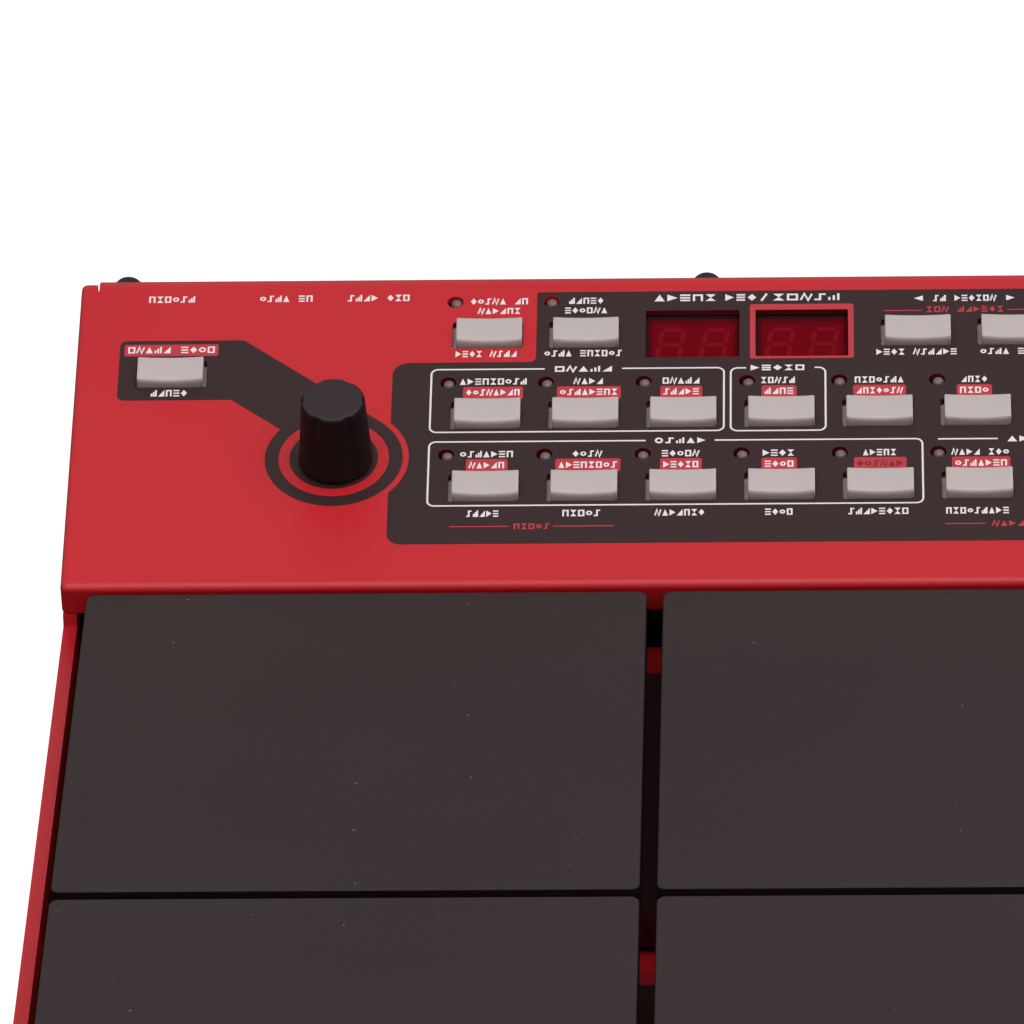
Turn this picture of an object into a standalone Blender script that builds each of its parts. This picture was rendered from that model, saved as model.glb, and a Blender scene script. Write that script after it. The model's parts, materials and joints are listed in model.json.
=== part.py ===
"""Six-pad electronic drum pad: a folded sheet-metal case with a sloping control panel.

Dimensions are in millimetres and are turned into metres as each mesh is made.
X runs to the right, Y to the rear and Z up; the origin is on the surface that the feet
stand on, under the middle of the object's box.
"""

import bpy
import bmesh
from math import cos, radians, sin
from mathutils import Vector

MM = 0.001
GAP = 0.3                                   # clearance between pieces that touch

# Overall size
PANEL_WIDTH = 306.0
BASE_WIDTH = 305.6
DEPTH = 287.2
FRONT_Y = -DEPTH / 2
FOOT_HEIGHT = 3.2
FLOOR_Z = FOOT_HEIGHT + GAP
SHEET = 1.2                                 # steel sheet of the case
HEM = 2.4                                   # folded-over top edge of the case walls
HEM_BOTTOM = 17.0
WALL_TOP = 23.0                             # beside the pads; the side walls step up under the panel

# Pads: three columns and two rows
PAD_WIDTH = 97.0
PAD_DEPTH = 98.05
COLUMN_GAP = 2.8
ROW_GAP = 2.35
PAD_FRONT_MARGIN = 4.1
PAD_TOP = 30.5
SKIN_THICKNESS = 4.0
PLATE_THICKNESS = 1.5
SKIRT_PROUD = 0.15                          # the skin's lower edge stands out this far
PANEL_GAP = 0.65                            # between the rear pads and the panel's lip
DECK_TOP = 16.1
FOAM_BOTTOM = 17.5
FOAM_FRONT_MARGIN = 2.6
FOAM_REAR_MARGIN = 17.9
FOAM_SIDE_MARGIN = 1.5
PLATE_BOTTOM = PAD_TOP - SKIN_THICKNESS - GAP - PLATE_THICKNESS
PADS_FRONT = FRONT_Y + PAD_FRONT_MARGIN
PADS_REAR = PADS_FRONT + 2 * PAD_DEPTH + ROW_GAP

# Control panel, in its own frame: x across, s up the slope, h out of the panel
SLOPE = 14.5
PANEL_Y = PADS_REAR + PANEL_GAP
PANEL_Z = PAD_TOP + 1.0
FRONT_BEND = 1.25
REAR_BEND = 5.5
REAR_BEND_START = 76.0
FLANGE_S = REAR_BEND_START + REAR_BEND      # outer face of the rear flange
FLANGE_DEPTH = 10.5
LIP_DEPTH = 6.15
TAB_END = 77.75                             # rear end of the side flanges
SLIT_START = 75.8
SLIT_INNER = 149.75
SLIT_OUTER = 150.07

# Rear wall of the case: vertical, with its top leaning forward behind the rear flange
WALL_S = FLANGE_S - SHEET - 0.7
WALL_STEP_S = TAB_END + 0.3                 # the side walls step up here to the rear wall
WALL_LEAN_TOP = -3.8
WALL_KINK = -11.5

# Keys
KEY_PITCH = 17.25
KEY_FIRST_X = -80.03
KEY_COLUMNS = 8
LOWER_KEY_S = 24.23
MIDDLE_KEY_S = 42.73
UPPER_KEY_S = 63.45
UPPER_KEY_X = (-80.06, -62.91, -4.06, 13.04)
SIDE_KEY = (-136.35, 53.85)
KEY_WIDTH = 11.65
KEY_DEPTH = 6.1
KEY_PROUD = 1.75
KEY_OFFSET = 0.3                            # the caps sit this far right in their slots
SLOT_WIDTH = 12.5
SLOT_DEPTH = 6.8
KEY_FLANGE_WIDTH = 14.0
KEY_FLANGE_DEPTH = 8.2
KEY_FLANGE_TOP = -SHEET - GAP
KEY_FLANGE_BOTTOM = -2.4
STEM_END = -3.0
SWITCH_TOP = -3.9
SWITCH_SIZE = 6.0

# Lamps beside the keys
LAMP_HOLE = 1.45
LAMP_RADIUS = 1.03
LAMP_TOP = 0.15
LAMP_SHIFT = (-6.75, 8.45)
UPPER_LAMP_SHIFT = (-5.93, 8.75)
LAMP_OFFSET = 0.18                          # the lamps sit this far right in their holes
NEAR_LAMP = ("middle", 3, 1.0)              # this lamp sits that much nearer its key
UPPER_LAMPS = 2

# Knobs and their shafts
KNOB_X = 106.1
KNOB_S = 31.6
KNOB_BASE = 6.55
KNOB_TOP = 5.65
KNOB_HEIGHT = 14.2
SHAFT = 3.0
BUSH = 4.4
BUSH_BORE = SHAFT + GAP

# Circuit board under the panel
BOARD_TOP = -7.0
BOARD_THICKNESS = 1.6

# Display windows: left, right, front and rear edges
WINDOWS = ((-52.05, -35.37, 57.4, 69.6), (-32.55, -16.1, 57.45, 69.55))
DISPLAY = (-53.2, -14.9, 56.0, 71.2)

# Sockets in the rear wall
JACK_X = (-137.3, -117.9, -100.2, -80.0)
JACK_Z = 18.0
JACK_NOSE = 4.6
JACK_BORE = 3.25
MIDI_X = 86.0
MIDI_SPACING = 21.0
MIDI_RADIUS = 7.6
DC_X = 130.0
DC_NOSE = 4.4
DC_BORE = 3.15
SOCKET_Z = 19.0

# Fastenings, feet and the flat land under the floor
SCREW_X = (-145.1, -41.3, 41.3, 145.1)
SCREW_H = -6.0
SCREW_HEAD = 2.7
SCREW_SHANK = 1.25
FOOT_X = 132.0
FOOT_Y = 118.0
POST_RADIUS = 2.6                           # posts under the main board
POST_TOP = 6.9
BOARD_FRONT_Y = 66.0
LAND_WIDTH = 200.0
LAND_DEPTH = 160.0
LAND_Z = 2.3


# ---------------------------------------------------------------- outlines

def arc(cx, cy, radius, start, end, steps):
    """Points on an arc between two angles in degrees, both ends included."""
    points = []
    for i in range(steps + 1):
        angle = radians(start + (end - start) * i / steps)
        points.append((cx + radius * cos(angle), cy + radius * sin(angle)))
    return points


def circle(cx, cy, radius, count=24):
    return arc(cx, cy, radius, 0, 360 - 360 / count, count - 1)


def rounded_rectangle(cx, cy, width, depth, radius, steps=3):
    dx = width / 2 - radius
    dy = depth / 2 - radius
    corners = ((dx, dy, 0), (-dx, dy, 90), (-dx, -dy, 180), (dx, -dy, 270))
    points = []
    for ox, oy, start in corners:
        points += arc(cx + ox, cy + oy, radius, start, start + 90, steps)
    return points


def rectangle(low_a, high_a, low_b, high_b):
    return [(low_a, low_b), (high_a, low_b), (high_a, high_b), (low_a, high_b)]


def panel_point(s, h):
    """World (y, z) of a point in the panel's side view."""
    tilt = radians(SLOPE)
    return (PANEL_Y + s * cos(tilt) - h * sin(tilt), PANEL_Z + s * sin(tilt) + h * cos(tilt))


# ---------------------------------------------------------------- meshes

def place(a, b, level, axis):
    """A point of an outline drawn across an axis: (x, y), (y, z) or (z, x)."""
    if axis == "Z":
        return Vector((a, b, level)) * MM
    if axis == "X":
        return Vector((level, a, b)) * MM
    return Vector((b, level, a)) * MM


def stack(bm, sections, axis="Z"):
    """A solid through outlines of the same point count, each at its own level."""
    rings = []
    for outline, level in sections:
        rings.append([bm.verts.new(place(a, b, level, axis)) for a, b in outline])
    count = len(rings[0])
    for lower, upper in zip(rings, rings[1:]):
        for i in range(count):
            j = (i + 1) % count
            bm.faces.new((lower[i], lower[j], upper[j], upper[i]))
    bm.faces.new(list(reversed(rings[0])))
    bm.faces.new(rings[-1])


def prism(bm, outline, low, high, axis="Z"):
    stack(bm, ((outline, low), (outline, high)), axis)


def turned(bm, profile, count=24, centre=(0.0, 0.0), axis="Z"):
    """A solid of revolution from (radius, level) pairs, closed at both ends."""
    stack(bm, [(circle(centre[0], centre[1], r, count), level) for r, level in profile], axis)


def make_object(name, bm, finish=None, parent=None, location=(0.0, 0.0, 0.0), smooth=True):
    bmesh.ops.recalc_face_normals(bm, faces=bm.faces)
    mesh = bpy.data.meshes.new(name)
    bm.to_mesh(mesh)
    bm.free()
    obj = bpy.data.objects.new(name, mesh)
    bpy.context.collection.objects.link(obj)
    obj.parent = parent
    obj.location = Vector(location) * MM
    if finish is not None:
        mesh.materials.append(finish)
    if smooth:
        mesh.shade_smooth()
        mesh.set_sharp_from_angle(angle=radians(35))
    return obj


def copy_object(source, name, location):
    """Another object that shares the mesh, the parent and the modifiers' results."""
    obj = bpy.data.objects.new(name, source.data)
    bpy.context.collection.objects.link(obj)
    obj.parent = source.parent
    obj.rotation_euler = source.rotation_euler
    obj.location = Vector(location) * MM
    return obj


def make_tool(name, bm, parent=None, location=(0.0, 0.0, 0.0)):
    """A shape that only cuts or joins; it isn't a piece of the object."""
    tool = make_object(name, bm, parent=parent, location=location, smooth=False)
    tool.hide_render = True
    tool.display_type = "WIRE"
    return tool


def combine(obj, tool, operation):
    modifier = obj.modifiers.new(tool.name, "BOOLEAN")
    modifier.operation = operation
    modifier.solver = "EXACT"
    modifier.object = tool


def make_finish(name, colour, roughness, metallic=0.0):
    finish = bpy.data.materials.new(name)
    finish.use_nodes = True
    shader = finish.node_tree.nodes["Principled BSDF"]
    shader.inputs["Base Color"].default_value = (*colour, 1.0)
    shader.inputs["Roughness"].default_value = roughness
    shader.inputs["Metallic"].default_value = metallic
    finish.diffuse_color = (*colour, 1.0)
    return finish


# ---------------------------------------------------------------- case

def make_base_tray(finish):
    """Floor, four walls with hemmed tops, and a rear wall that leans forward at the top."""
    side = BASE_WIDTH / 2
    kink_y, kink_z = panel_point(WALL_S, WALL_KINK)
    inner_y = kink_y - SHEET
    step_y, step_z = panel_point(-0.2, -LIP_DEPTH - GAP)
    outline = [(FRONT_Y, FLOOR_Z), (FRONT_Y, WALL_TOP), (step_y, WALL_TOP), (step_y, step_z)]
    outline.append(panel_point(WALL_STEP_S, -LIP_DEPTH - GAP))
    outline.append(panel_point(WALL_STEP_S, WALL_LEAN_TOP))
    outline.append(panel_point(WALL_S, WALL_LEAN_TOP))
    outline += [(kink_y, kink_z), (kink_y, FLOOR_Z)]
    bm = bmesh.new()
    prism(bm, outline, -side, side, "X")
    tray = make_object("base_tray", bm, finish)

    bm = bmesh.new()
    lower = rectangle(FRONT_Y + SHEET, inner_y, FLOOR_Z + SHEET, HEM_BOTTOM)
    prism(bm, lower, SHEET - side, side - SHEET, "X")
    combine(tray, make_tool("tool_tray_lower", bm), "DIFFERENCE")

    bm = bmesh.new()
    below_hem = HEM_BOTTOM - HEM
    upper = [(FRONT_Y + HEM, below_hem), (inner_y, below_hem)]
    upper.append(panel_point(WALL_S - SHEET, WALL_KINK))
    upper.append(panel_point(WALL_S - SHEET, 10))
    upper.append((FRONT_Y + HEM, 70.0))
    prism(bm, upper, HEM - side, side - HEM, "X")
    combine(tray, make_tool("tool_tray_upper", bm), "DIFFERENCE")

    bm = bmesh.new()
    land = rounded_rectangle(0, 0, LAND_WIDTH, LAND_DEPTH, 6)
    prism(bm, land, LAND_Z, FLOOR_Z + SHEET / 2)
    combine(tray, make_tool("tool_tray_land", bm), "UNION")

    bm = bmesh.new()
    for x in (-130.0, -45.0, 45.0, 130.0):
        for y in (72.0, 126.0):
            turned(bm, ((POST_RADIUS, FLOOR_Z + SHEET / 2), (POST_RADIUS, POST_TOP)), 10, (x, y))
    combine(tray, make_tool("tool_tray_posts", bm), "UNION")

    bm = bmesh.new()
    jack_hole = JACK_NOSE + GAP
    for x in JACK_X:
        turned(bm, ((jack_hole, inner_y - 3), (jack_hole, kink_y + 3)), 24, (JACK_Z, x), "Y")
    midi_hole = MIDI_RADIUS + GAP
    for x in (MIDI_X - MIDI_SPACING / 2, MIDI_X + MIDI_SPACING / 2):
        turned(bm, ((midi_hole, inner_y - 3), (midi_hole, kink_y + 3)), 28, (SOCKET_Z, x), "Y")
    turned(bm, ((DC_NOSE + GAP, inner_y - 3), (DC_NOSE + GAP, kink_y + 3)), 20, (SOCKET_Z, DC_X), "Y")
    combine(tray, make_tool("tool_tray_holes", bm), "DIFFERENCE")
    return tray, kink_y


def make_pad_deck(finish):
    """Shallow upturned tray that carries the pads; it reaches back under the panel."""
    half = BASE_WIDTH / 2 - HEM - GAP - 0.2
    front = FRONT_Y + SHEET + 0.5
    rear = BOARD_FRONT_Y - 1.6
    bm = bmesh.new()
    prism(bm, rectangle(-half, half, front, rear), FLOOR_Z + SHEET + GAP, DECK_TOP)
    deck = make_object("pad_deck", bm, finish)
    bm = bmesh.new()
    inner = rectangle(-half + SHEET, half - SHEET, front + SHEET, rear - SHEET)
    prism(bm, inner, 0.0, DECK_TOP - 1.5)
    combine(deck, make_tool("tool_deck_cavity", bm), "DIFFERENCE")
    return deck


def make_control_panel(frame, finish):
    """Folded panel: a front lip, side flanges and a rear flange round a large bend."""
    half = PANEL_WIDTH / 2
    outer = [(0.0, -LIP_DEPTH)]
    outer += arc(FRONT_BEND, -FRONT_BEND, FRONT_BEND, 180, 90, 4)
    outer += arc(REAR_BEND_START, -REAR_BEND, REAR_BEND, 90, 0, 8)
    outer += [(FLANGE_S, -FLANGE_DEPTH), (78.0, -FLANGE_DEPTH), (78.0, -LIP_DEPTH)]
    bm = bmesh.new()
    prism(bm, outer, -half, half, "X")
    panel = make_object("control_panel", bm, finish, frame)

    bm = bmesh.new()
    inner = [(SHEET, -30.0)]
    inner += arc(FRONT_BEND, -FRONT_BEND, FRONT_BEND - SHEET, 180, 90, 3)
    inner += arc(REAR_BEND_START, -REAR_BEND, REAR_BEND - SHEET, 90, 0, 8)
    inner += [(FLANGE_S - SHEET, -30.0)]
    prism(bm, inner, SHEET - half, half - SHEET, "X")
    combine(panel, make_tool("tool_panel_cavity", bm, frame), "DIFFERENCE")

    bm = bmesh.new()
    for side in (-1, 1):
        edges = sorted((side * SLIT_INNER, side * (half + 2)))
        prism(bm, rectangle(edges[0], edges[1], TAB_END, 90.0), -30.0, 10.0)
        slit = sorted((side * SLIT_INNER, side * SLIT_OUTER))
        prism(bm, rectangle(slit[0], slit[1], SLIT_START, TAB_END - 0.01), -30.0, 10.0)
    combine(panel, make_tool("tool_panel_corners", bm, frame), "DIFFERENCE")

    bm = bmesh.new()
    for x, s, _ in key_places():
        prism(bm, rounded_rectangle(x, s, SLOT_WIDTH, SLOT_DEPTH, 0.5, 1), -2.0, 1.0)
    for x, s in lamp_places():
        prism(bm, circle(x, s, LAMP_HOLE, 12), -2.0, 1.0)
    for x in (-KNOB_X, KNOB_X):
        prism(bm, circle(x, KNOB_S, BUSH + 0.4), -2.0, 1.0)
    for left, right, front, rear in WINDOWS:
        prism(bm, rectangle(left, right, front, rear), -2.0, 1.0)
    combine(panel, make_tool("tool_panel_openings", bm, frame), "DIFFERENCE")
    return panel


def cut_screw_holes(frame, panel, tray):
    """Clearance holes for the rear screws, through the flange and the wall behind it."""
    bm = bmesh.new()
    for x in SCREW_X:
        turned(bm, ((SCREW_SHANK + 0.35, 76.0), (SCREW_SHANK + 0.35, 84.0)), 12, (SCREW_H, x), "Y")
    tool = make_tool("tool_screw_holes", bm, frame)
    combine(panel, tool, "DIFFERENCE")
    combine(tray, tool, "DIFFERENCE")


# ---------------------------------------------------------------- layout of the keys

def key_places():
    """Slot centre and name of every key."""
    places = [(SIDE_KEY[0], SIDE_KEY[1], "key_side")]
    for i, x in enumerate(UPPER_KEY_X):
        places.append((x, UPPER_KEY_S, f"key_upper_{i + 1}"))
    for row, s in (("middle", MIDDLE_KEY_S), ("lower", LOWER_KEY_S)):
        for i in range(KEY_COLUMNS):
            places.append((KEY_FIRST_X + i * KEY_PITCH, s, f"key_{row}_{i + 1}"))
    return places


def lamp_places():
    places = []
    for x in UPPER_KEY_X[:UPPER_LAMPS]:
        places.append((x + UPPER_LAMP_SHIFT[0], UPPER_KEY_S + UPPER_LAMP_SHIFT[1]))
    for row, s in (("middle", MIDDLE_KEY_S), ("lower", LOWER_KEY_S)):
        for i in range(KEY_COLUMNS):
            x = KEY_FIRST_X + i * KEY_PITCH + LAMP_SHIFT[0]
            if (row, i) == NEAR_LAMP[:2]:
                x += NEAR_LAMP[2]
            places.append((x, s + LAMP_SHIFT[1]))
    return places


# ---------------------------------------------------------------- controls

def make_keys(frame, finish):
    """Key: a cap through the slot, a flange under the panel and a short stem."""
    cap = rounded_rectangle(0, 0, KEY_WIDTH, KEY_DEPTH, 0.5, 1)
    cap_top = rounded_rectangle(0, 0.15, KEY_WIDTH - 0.4, KEY_DEPTH - 0.7, 0.5, 1)
    flange = rounded_rectangle(0, 0, KEY_FLANGE_WIDTH, KEY_FLANGE_DEPTH, 0.6, 1)
    stem = rounded_rectangle(0, 0, 3.2, 3.2, 1.0, 1)
    bm = bmesh.new()
    stack(bm, (
        (stem, STEM_END), (stem, KEY_FLANGE_BOTTOM), (flange, KEY_FLANGE_BOTTOM),
        (flange, KEY_FLANGE_TOP), (cap, KEY_FLANGE_TOP), (cap, KEY_PROUD - 0.5), (cap_top, KEY_PROUD)))
    keys = []
    for x, s, name in key_places():
        location = (x + KEY_OFFSET, s, 0.0)
        if keys:
            keys.append(copy_object(keys[0], name, location))
        else:
            keys.append(make_object(name, bm, finish, frame, location))
    return keys


def make_knobs(frame, finish):
    """Two tapered knobs, hollow underneath, each with its shaft in the middle."""
    for name, x in (("value_knob", -KNOB_X), ("level_knob", KNOB_X)):
        bm = bmesh.new()
        top = 0.4 + KNOB_HEIGHT
        turned(bm, ((KNOB_BASE, 0.4), (KNOB_BASE, 1.8), (KNOB_TOP, top - 0.5), (KNOB_TOP - 0.5, top)), 32)
        knob = make_object(name, bm, finish, frame, (x, KNOB_S, 0.0))
        bm = bmesh.new()
        turned(bm, ((5.3, -1.0), (4.6, 7.5)), 24)
        combine(knob, make_tool(f"tool_{name}_hollow", bm, frame, (x, KNOB_S, 0.0)), "DIFFERENCE")
        bm = bmesh.new()
        turned(bm, ((SHAFT, -5.0), (SHAFT, 9.0)), 24)
        combine(knob, make_tool(f"tool_{name}_shaft", bm, frame, (x, KNOB_S, 0.0)), "UNION")


def make_shaft_bodies(frame, finish):
    """Encoder and potentiometer: a square body with a bush that guides the knob's shaft."""
    for name, x in (("value_encoder", -KNOB_X), ("level_pot", KNOB_X)):
        location = (x, KNOB_S, 0.0)
        bm = bmesh.new()
        prism(bm, rounded_rectangle(0, 0, 12.4, 12.4, 0.6), BOARD_TOP + GAP, -2.2)
        body = make_object(name, bm, finish, frame, location)
        bm = bmesh.new()
        turned(bm, ((BUSH, -3.0), (BUSH, -0.2)))
        combine(body, make_tool(f"tool_{name}_bush", bm, frame, location), "UNION")
        bm = bmesh.new()
        turned(bm, ((BUSH_BORE, -5.4), (BUSH_BORE, 1.0)))
        combine(body, make_tool(f"tool_{name}_bore", bm, frame, location), "DIFFERENCE")


def make_panel_board(frame, finish):
    """Circuit board under the panel, with a switch under each key and the lamps."""
    bm = bmesh.new()
    prism(bm, rectangle(-145.0, 118.0, 8.0, 74.5), BOARD_TOP - BOARD_THICKNESS, BOARD_TOP)
    board = make_object("panel_board", bm, finish, frame)
    bm = bmesh.new()
    root = BOARD_TOP - BOARD_THICKNESS / 2
    half = SWITCH_SIZE / 2
    for x, s, _ in key_places():
        cx = x + KEY_OFFSET
        prism(bm, rectangle(cx - half, cx + half, s - half, s + half), root, SWITCH_TOP)
    dome = ((LAMP_RADIUS, root), (LAMP_RADIUS, LAMP_TOP - 0.8), (0.8, LAMP_TOP - 0.3), (0.4, LAMP_TOP))
    for x, s in lamp_places():
        turned(bm, dome, 10, (x + LAMP_OFFSET, s))
    combine(board, make_tool("tool_board_parts", bm, frame), "UNION")
    return board


def make_display(frame, finish):
    """Two-digit display module close under its windows."""
    left, right, front, rear = DISPLAY
    outline = rounded_rectangle((left + right) / 2, (front + rear) / 2, right - left, rear - front, 0.4, 2)
    bm = bmesh.new()
    prism(bm, outline, BOARD_TOP + GAP, -SHEET - GAP)
    return make_object("display_module", bm, finish, frame)


# ---------------------------------------------------------------- pads

def pad_centres():
    """Middle of each pad, from the rear left to the front right."""
    centres = []
    for y in (PADS_REAR - PAD_DEPTH / 2, PADS_FRONT + PAD_DEPTH / 2):
        for column in (-1, 0, 1):
            centres.append((column * (PAD_WIDTH + COLUMN_GAP), y))
    return centres


def make_pads(rubber, steel):
    """Rubber skins on steel plates."""
    low = PAD_TOP - SKIN_THICKNESS
    body = rounded_rectangle(0, 0, PAD_WIDTH, PAD_DEPTH, 1.4)
    skirt = rounded_rectangle(0, 0, PAD_WIDTH + 2 * SKIRT_PROUD, PAD_DEPTH + 2 * SKIRT_PROUD, 1.8)
    crown = rounded_rectangle(0, 0, PAD_WIDTH - 0.6, PAD_DEPTH - 0.6, 1.2)
    plate = rounded_rectangle(0, 0, PAD_WIDTH - 2.0, PAD_DEPTH - 2.0, 2.0)
    skin_mesh = None
    plate_mesh = None
    for i, (x, y) in enumerate(pad_centres()):
        if skin_mesh is None:
            bm = bmesh.new()
            stack(bm, ((skirt, low), (skirt, low + 1.6), (body, low + 2.4), (body, PAD_TOP - 0.3),
                       (crown, PAD_TOP)))
            skin_mesh = make_object("pad_skin_1", bm, rubber, None, (x, y, 0.0))
            bm = bmesh.new()
            prism(bm, plate, PLATE_BOTTOM, PLATE_BOTTOM + PLATE_THICKNESS)
            plate_mesh = make_object("pad_plate_1", bm, steel, None, (x, y, 0.0))
        else:
            copy_object(skin_mesh, f"pad_skin_{i + 1}", (x, y, 0.0))
            copy_object(plate_mesh, f"pad_plate_{i + 1}", (x, y, 0.0))


def make_foams(finish):
    """A foam strip under each row of pads; the deck shows in the column gaps behind it."""
    half = 1.5 * PAD_WIDTH + COLUMN_GAP - FOAM_SIDE_MARGIN
    for name, rear in (("pad_foam_rear", PADS_REAR), ("pad_foam_front", PADS_FRONT + PAD_DEPTH)):
        front = rear - PAD_DEPTH + FOAM_FRONT_MARGIN
        bm = bmesh.new()
        prism(bm, rectangle(-half, half, front, rear - FOAM_REAR_MARGIN), FOAM_BOTTOM, PLATE_BOTTOM - GAP)
        make_object(name, bm, finish)


def make_sensor_flex(finish):
    """Six piezo discs on one printed film that lies on the deck."""
    centres = pad_centres()
    rear_y = centres[0][1]
    front_y = centres[3][1]
    bottom = DECK_TOP + GAP
    bm = bmesh.new()
    prism(bm, rectangle(-4.0, 4.0, front_y, PADS_REAR - 4.0), bottom, bottom + 0.5)
    film = make_object("sensor_flex", bm, finish)
    bm = bmesh.new()
    for y in (rear_y, front_y):
        reach = PAD_WIDTH + COLUMN_GAP
        prism(bm, rectangle(-reach, reach, y - 3.0, y + 3.0), bottom + 0.05, bottom + 0.45)
    combine(film, make_tool("tool_flex_strips", bm), "UNION")
    bm = bmesh.new()
    for x, y in centres:
        turned(bm, ((13.5, bottom + 0.02), (13.5, bottom + 0.7)), 20, (x, y))
    combine(film, make_tool("tool_flex_discs", bm), "UNION")
    return film


# ---------------------------------------------------------------- electronics at the rear

def make_main_board(finish, rear):
    bm = bmesh.new()
    bottom = POST_TOP + GAP
    prism(bm, rectangle(-147.0, 147.0, BOARD_FRONT_Y, rear), bottom, bottom + BOARD_THICKNESS)
    return make_object("main_board", bm, finish)


def make_jacks(finish, inner_y):
    """Quarter-inch jacks: a body on the board and a threaded nose through the wall."""
    names = ("phones_jack", "left_out_jack", "right_out_jack", "trigger_jack")
    face = inner_y - GAP
    for name, x in zip(names, JACK_X):
        bm = bmesh.new()
        prism(bm, rounded_rectangle(0, face - 13.0, 15.4, 26.0, 0.8, 2), 9.1, 26.0)
        jack = make_object(name, bm, finish, None, (x, 0.0, 0.0))
        bm = bmesh.new()
        turned(bm, ((JACK_NOSE, face - 2), (JACK_NOSE, DEPTH / 2)), 24, (JACK_Z, 0.0), "Y")
        combine(jack, make_tool(f"tool_{name}_nose", bm, None, (x, 0.0, 0.0)), "UNION")
        bm = bmesh.new()
        turned(bm, ((JACK_BORE, face - 20), (JACK_BORE, DEPTH / 2 + 2)), 24, (JACK_Z, 0.0), "Y")
        combine(jack, make_tool(f"tool_{name}_bore", bm, None, (x, 0.0, 0.0)), "DIFFERENCE")


def make_midi_sockets(finish, inner_y, wall_y):
    """Block with two round five-pin sockets, each with an annular gap for the plug's shell."""
    face = inner_y - GAP
    sockets = (MIDI_X - MIDI_SPACING / 2, MIDI_X + MIDI_SPACING / 2)
    bm = bmesh.new()
    prism(bm, rounded_rectangle(MIDI_X, face - 8.0, 42.0, 16.0, 0.8, 2), 9.1, 29.5)
    block = make_object("midi_sockets", bm, finish)
    bm = bmesh.new()
    for x in sockets:
        turned(bm, ((MIDI_RADIUS, face - 2), (MIDI_RADIUS, wall_y)), 28, (SOCKET_Z, x), "Y")
    combine(block, make_tool("tool_midi_noses", bm), "UNION")
    bm = bmesh.new()
    for x in sockets:
        turned(bm, ((6.8, wall_y - 9), (6.8, wall_y + 2)), 28, (SOCKET_Z, x), "Y")
    combine(block, make_tool("tool_midi_recesses", bm), "DIFFERENCE")
    bm = bmesh.new()
    for x in sockets:
        turned(bm, ((5.7, wall_y - 10), (5.7, wall_y - 1)), 28, (SOCKET_Z, x), "Y")
    combine(block, make_tool("tool_midi_inserts", bm), "UNION")
    return block


def make_dc_inlet(finish, inner_y, wall_y):
    face = inner_y - GAP
    bm = bmesh.new()
    prism(bm, rounded_rectangle(DC_X, face - 7.0, 10.4, 14.0, 0.6, 2), 9.1, 24.5)
    inlet = make_object("dc_inlet", bm, finish)
    bm = bmesh.new()
    turned(bm, ((DC_NOSE, face - 2), (DC_NOSE, wall_y + 0.6)), 20, (SOCKET_Z, DC_X), "Y")
    combine(inlet, make_tool("tool_dc_nose", bm), "UNION")
    bm = bmesh.new()
    turned(bm, ((DC_BORE, face - 9), (DC_BORE, wall_y + 3)), 20, (SOCKET_Z, DC_X), "Y")
    combine(inlet, make_tool("tool_dc_bore", bm), "DIFFERENCE")
    return inlet


# ---------------------------------------------------------------- feet and screws

def make_feet(finish):
    bm = bmesh.new()
    turned(bm, ((7.2, 0.0), (8.0, 0.5), (8.8, FOOT_HEIGHT - 0.4), (8.8, FOOT_HEIGHT)), 20)
    first = None
    for name, x, y in (
            ("foot_front_left", -FOOT_X, -FOOT_Y), ("foot_front_right", FOOT_X, -FOOT_Y),
            ("foot_rear_left", -FOOT_X, FOOT_Y), ("foot_rear_right", FOOT_X, FOOT_Y)):
        if first is None:
            first = make_object(name, bm, finish, None, (x, y, 0.0))
        else:
            copy_object(first, name, (x, y, 0.0))


def make_rear_screws(frame, finish):
    """Pan-head screws through the rear flange, along the slope of the panel."""
    bm = bmesh.new()
    seat = FLANGE_S + GAP
    profile = ((SCREW_SHANK, 76.6), (SCREW_SHANK, seat), (SCREW_HEAD, seat), (SCREW_HEAD, seat + 1.4),
               (SCREW_HEAD - 0.25, seat + 2.0), (SCREW_HEAD - 0.8, seat + 2.3))
    turned(bm, profile, 14, (SCREW_H, 0.0), "Y")
    first = None
    for i, x in enumerate(SCREW_X):
        if first is None:
            first = make_object("rear_screw_1", bm, finish, frame, (x, 0.0, 0.0))
        else:
            copy_object(first, f"rear_screw_{i + 1}", (x, 0.0, 0.0))


def make_panel_frame():
    """Empty at the panel's front edge, tilted with the panel."""
    frame = bpy.data.objects.new("panel_frame", None)
    bpy.context.collection.objects.link(frame)
    frame.location = Vector((0.0, PANEL_Y, PANEL_Z)) * MM
    frame.rotation_euler = (radians(SLOPE), 0.0, 0.0)
    return frame


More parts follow.
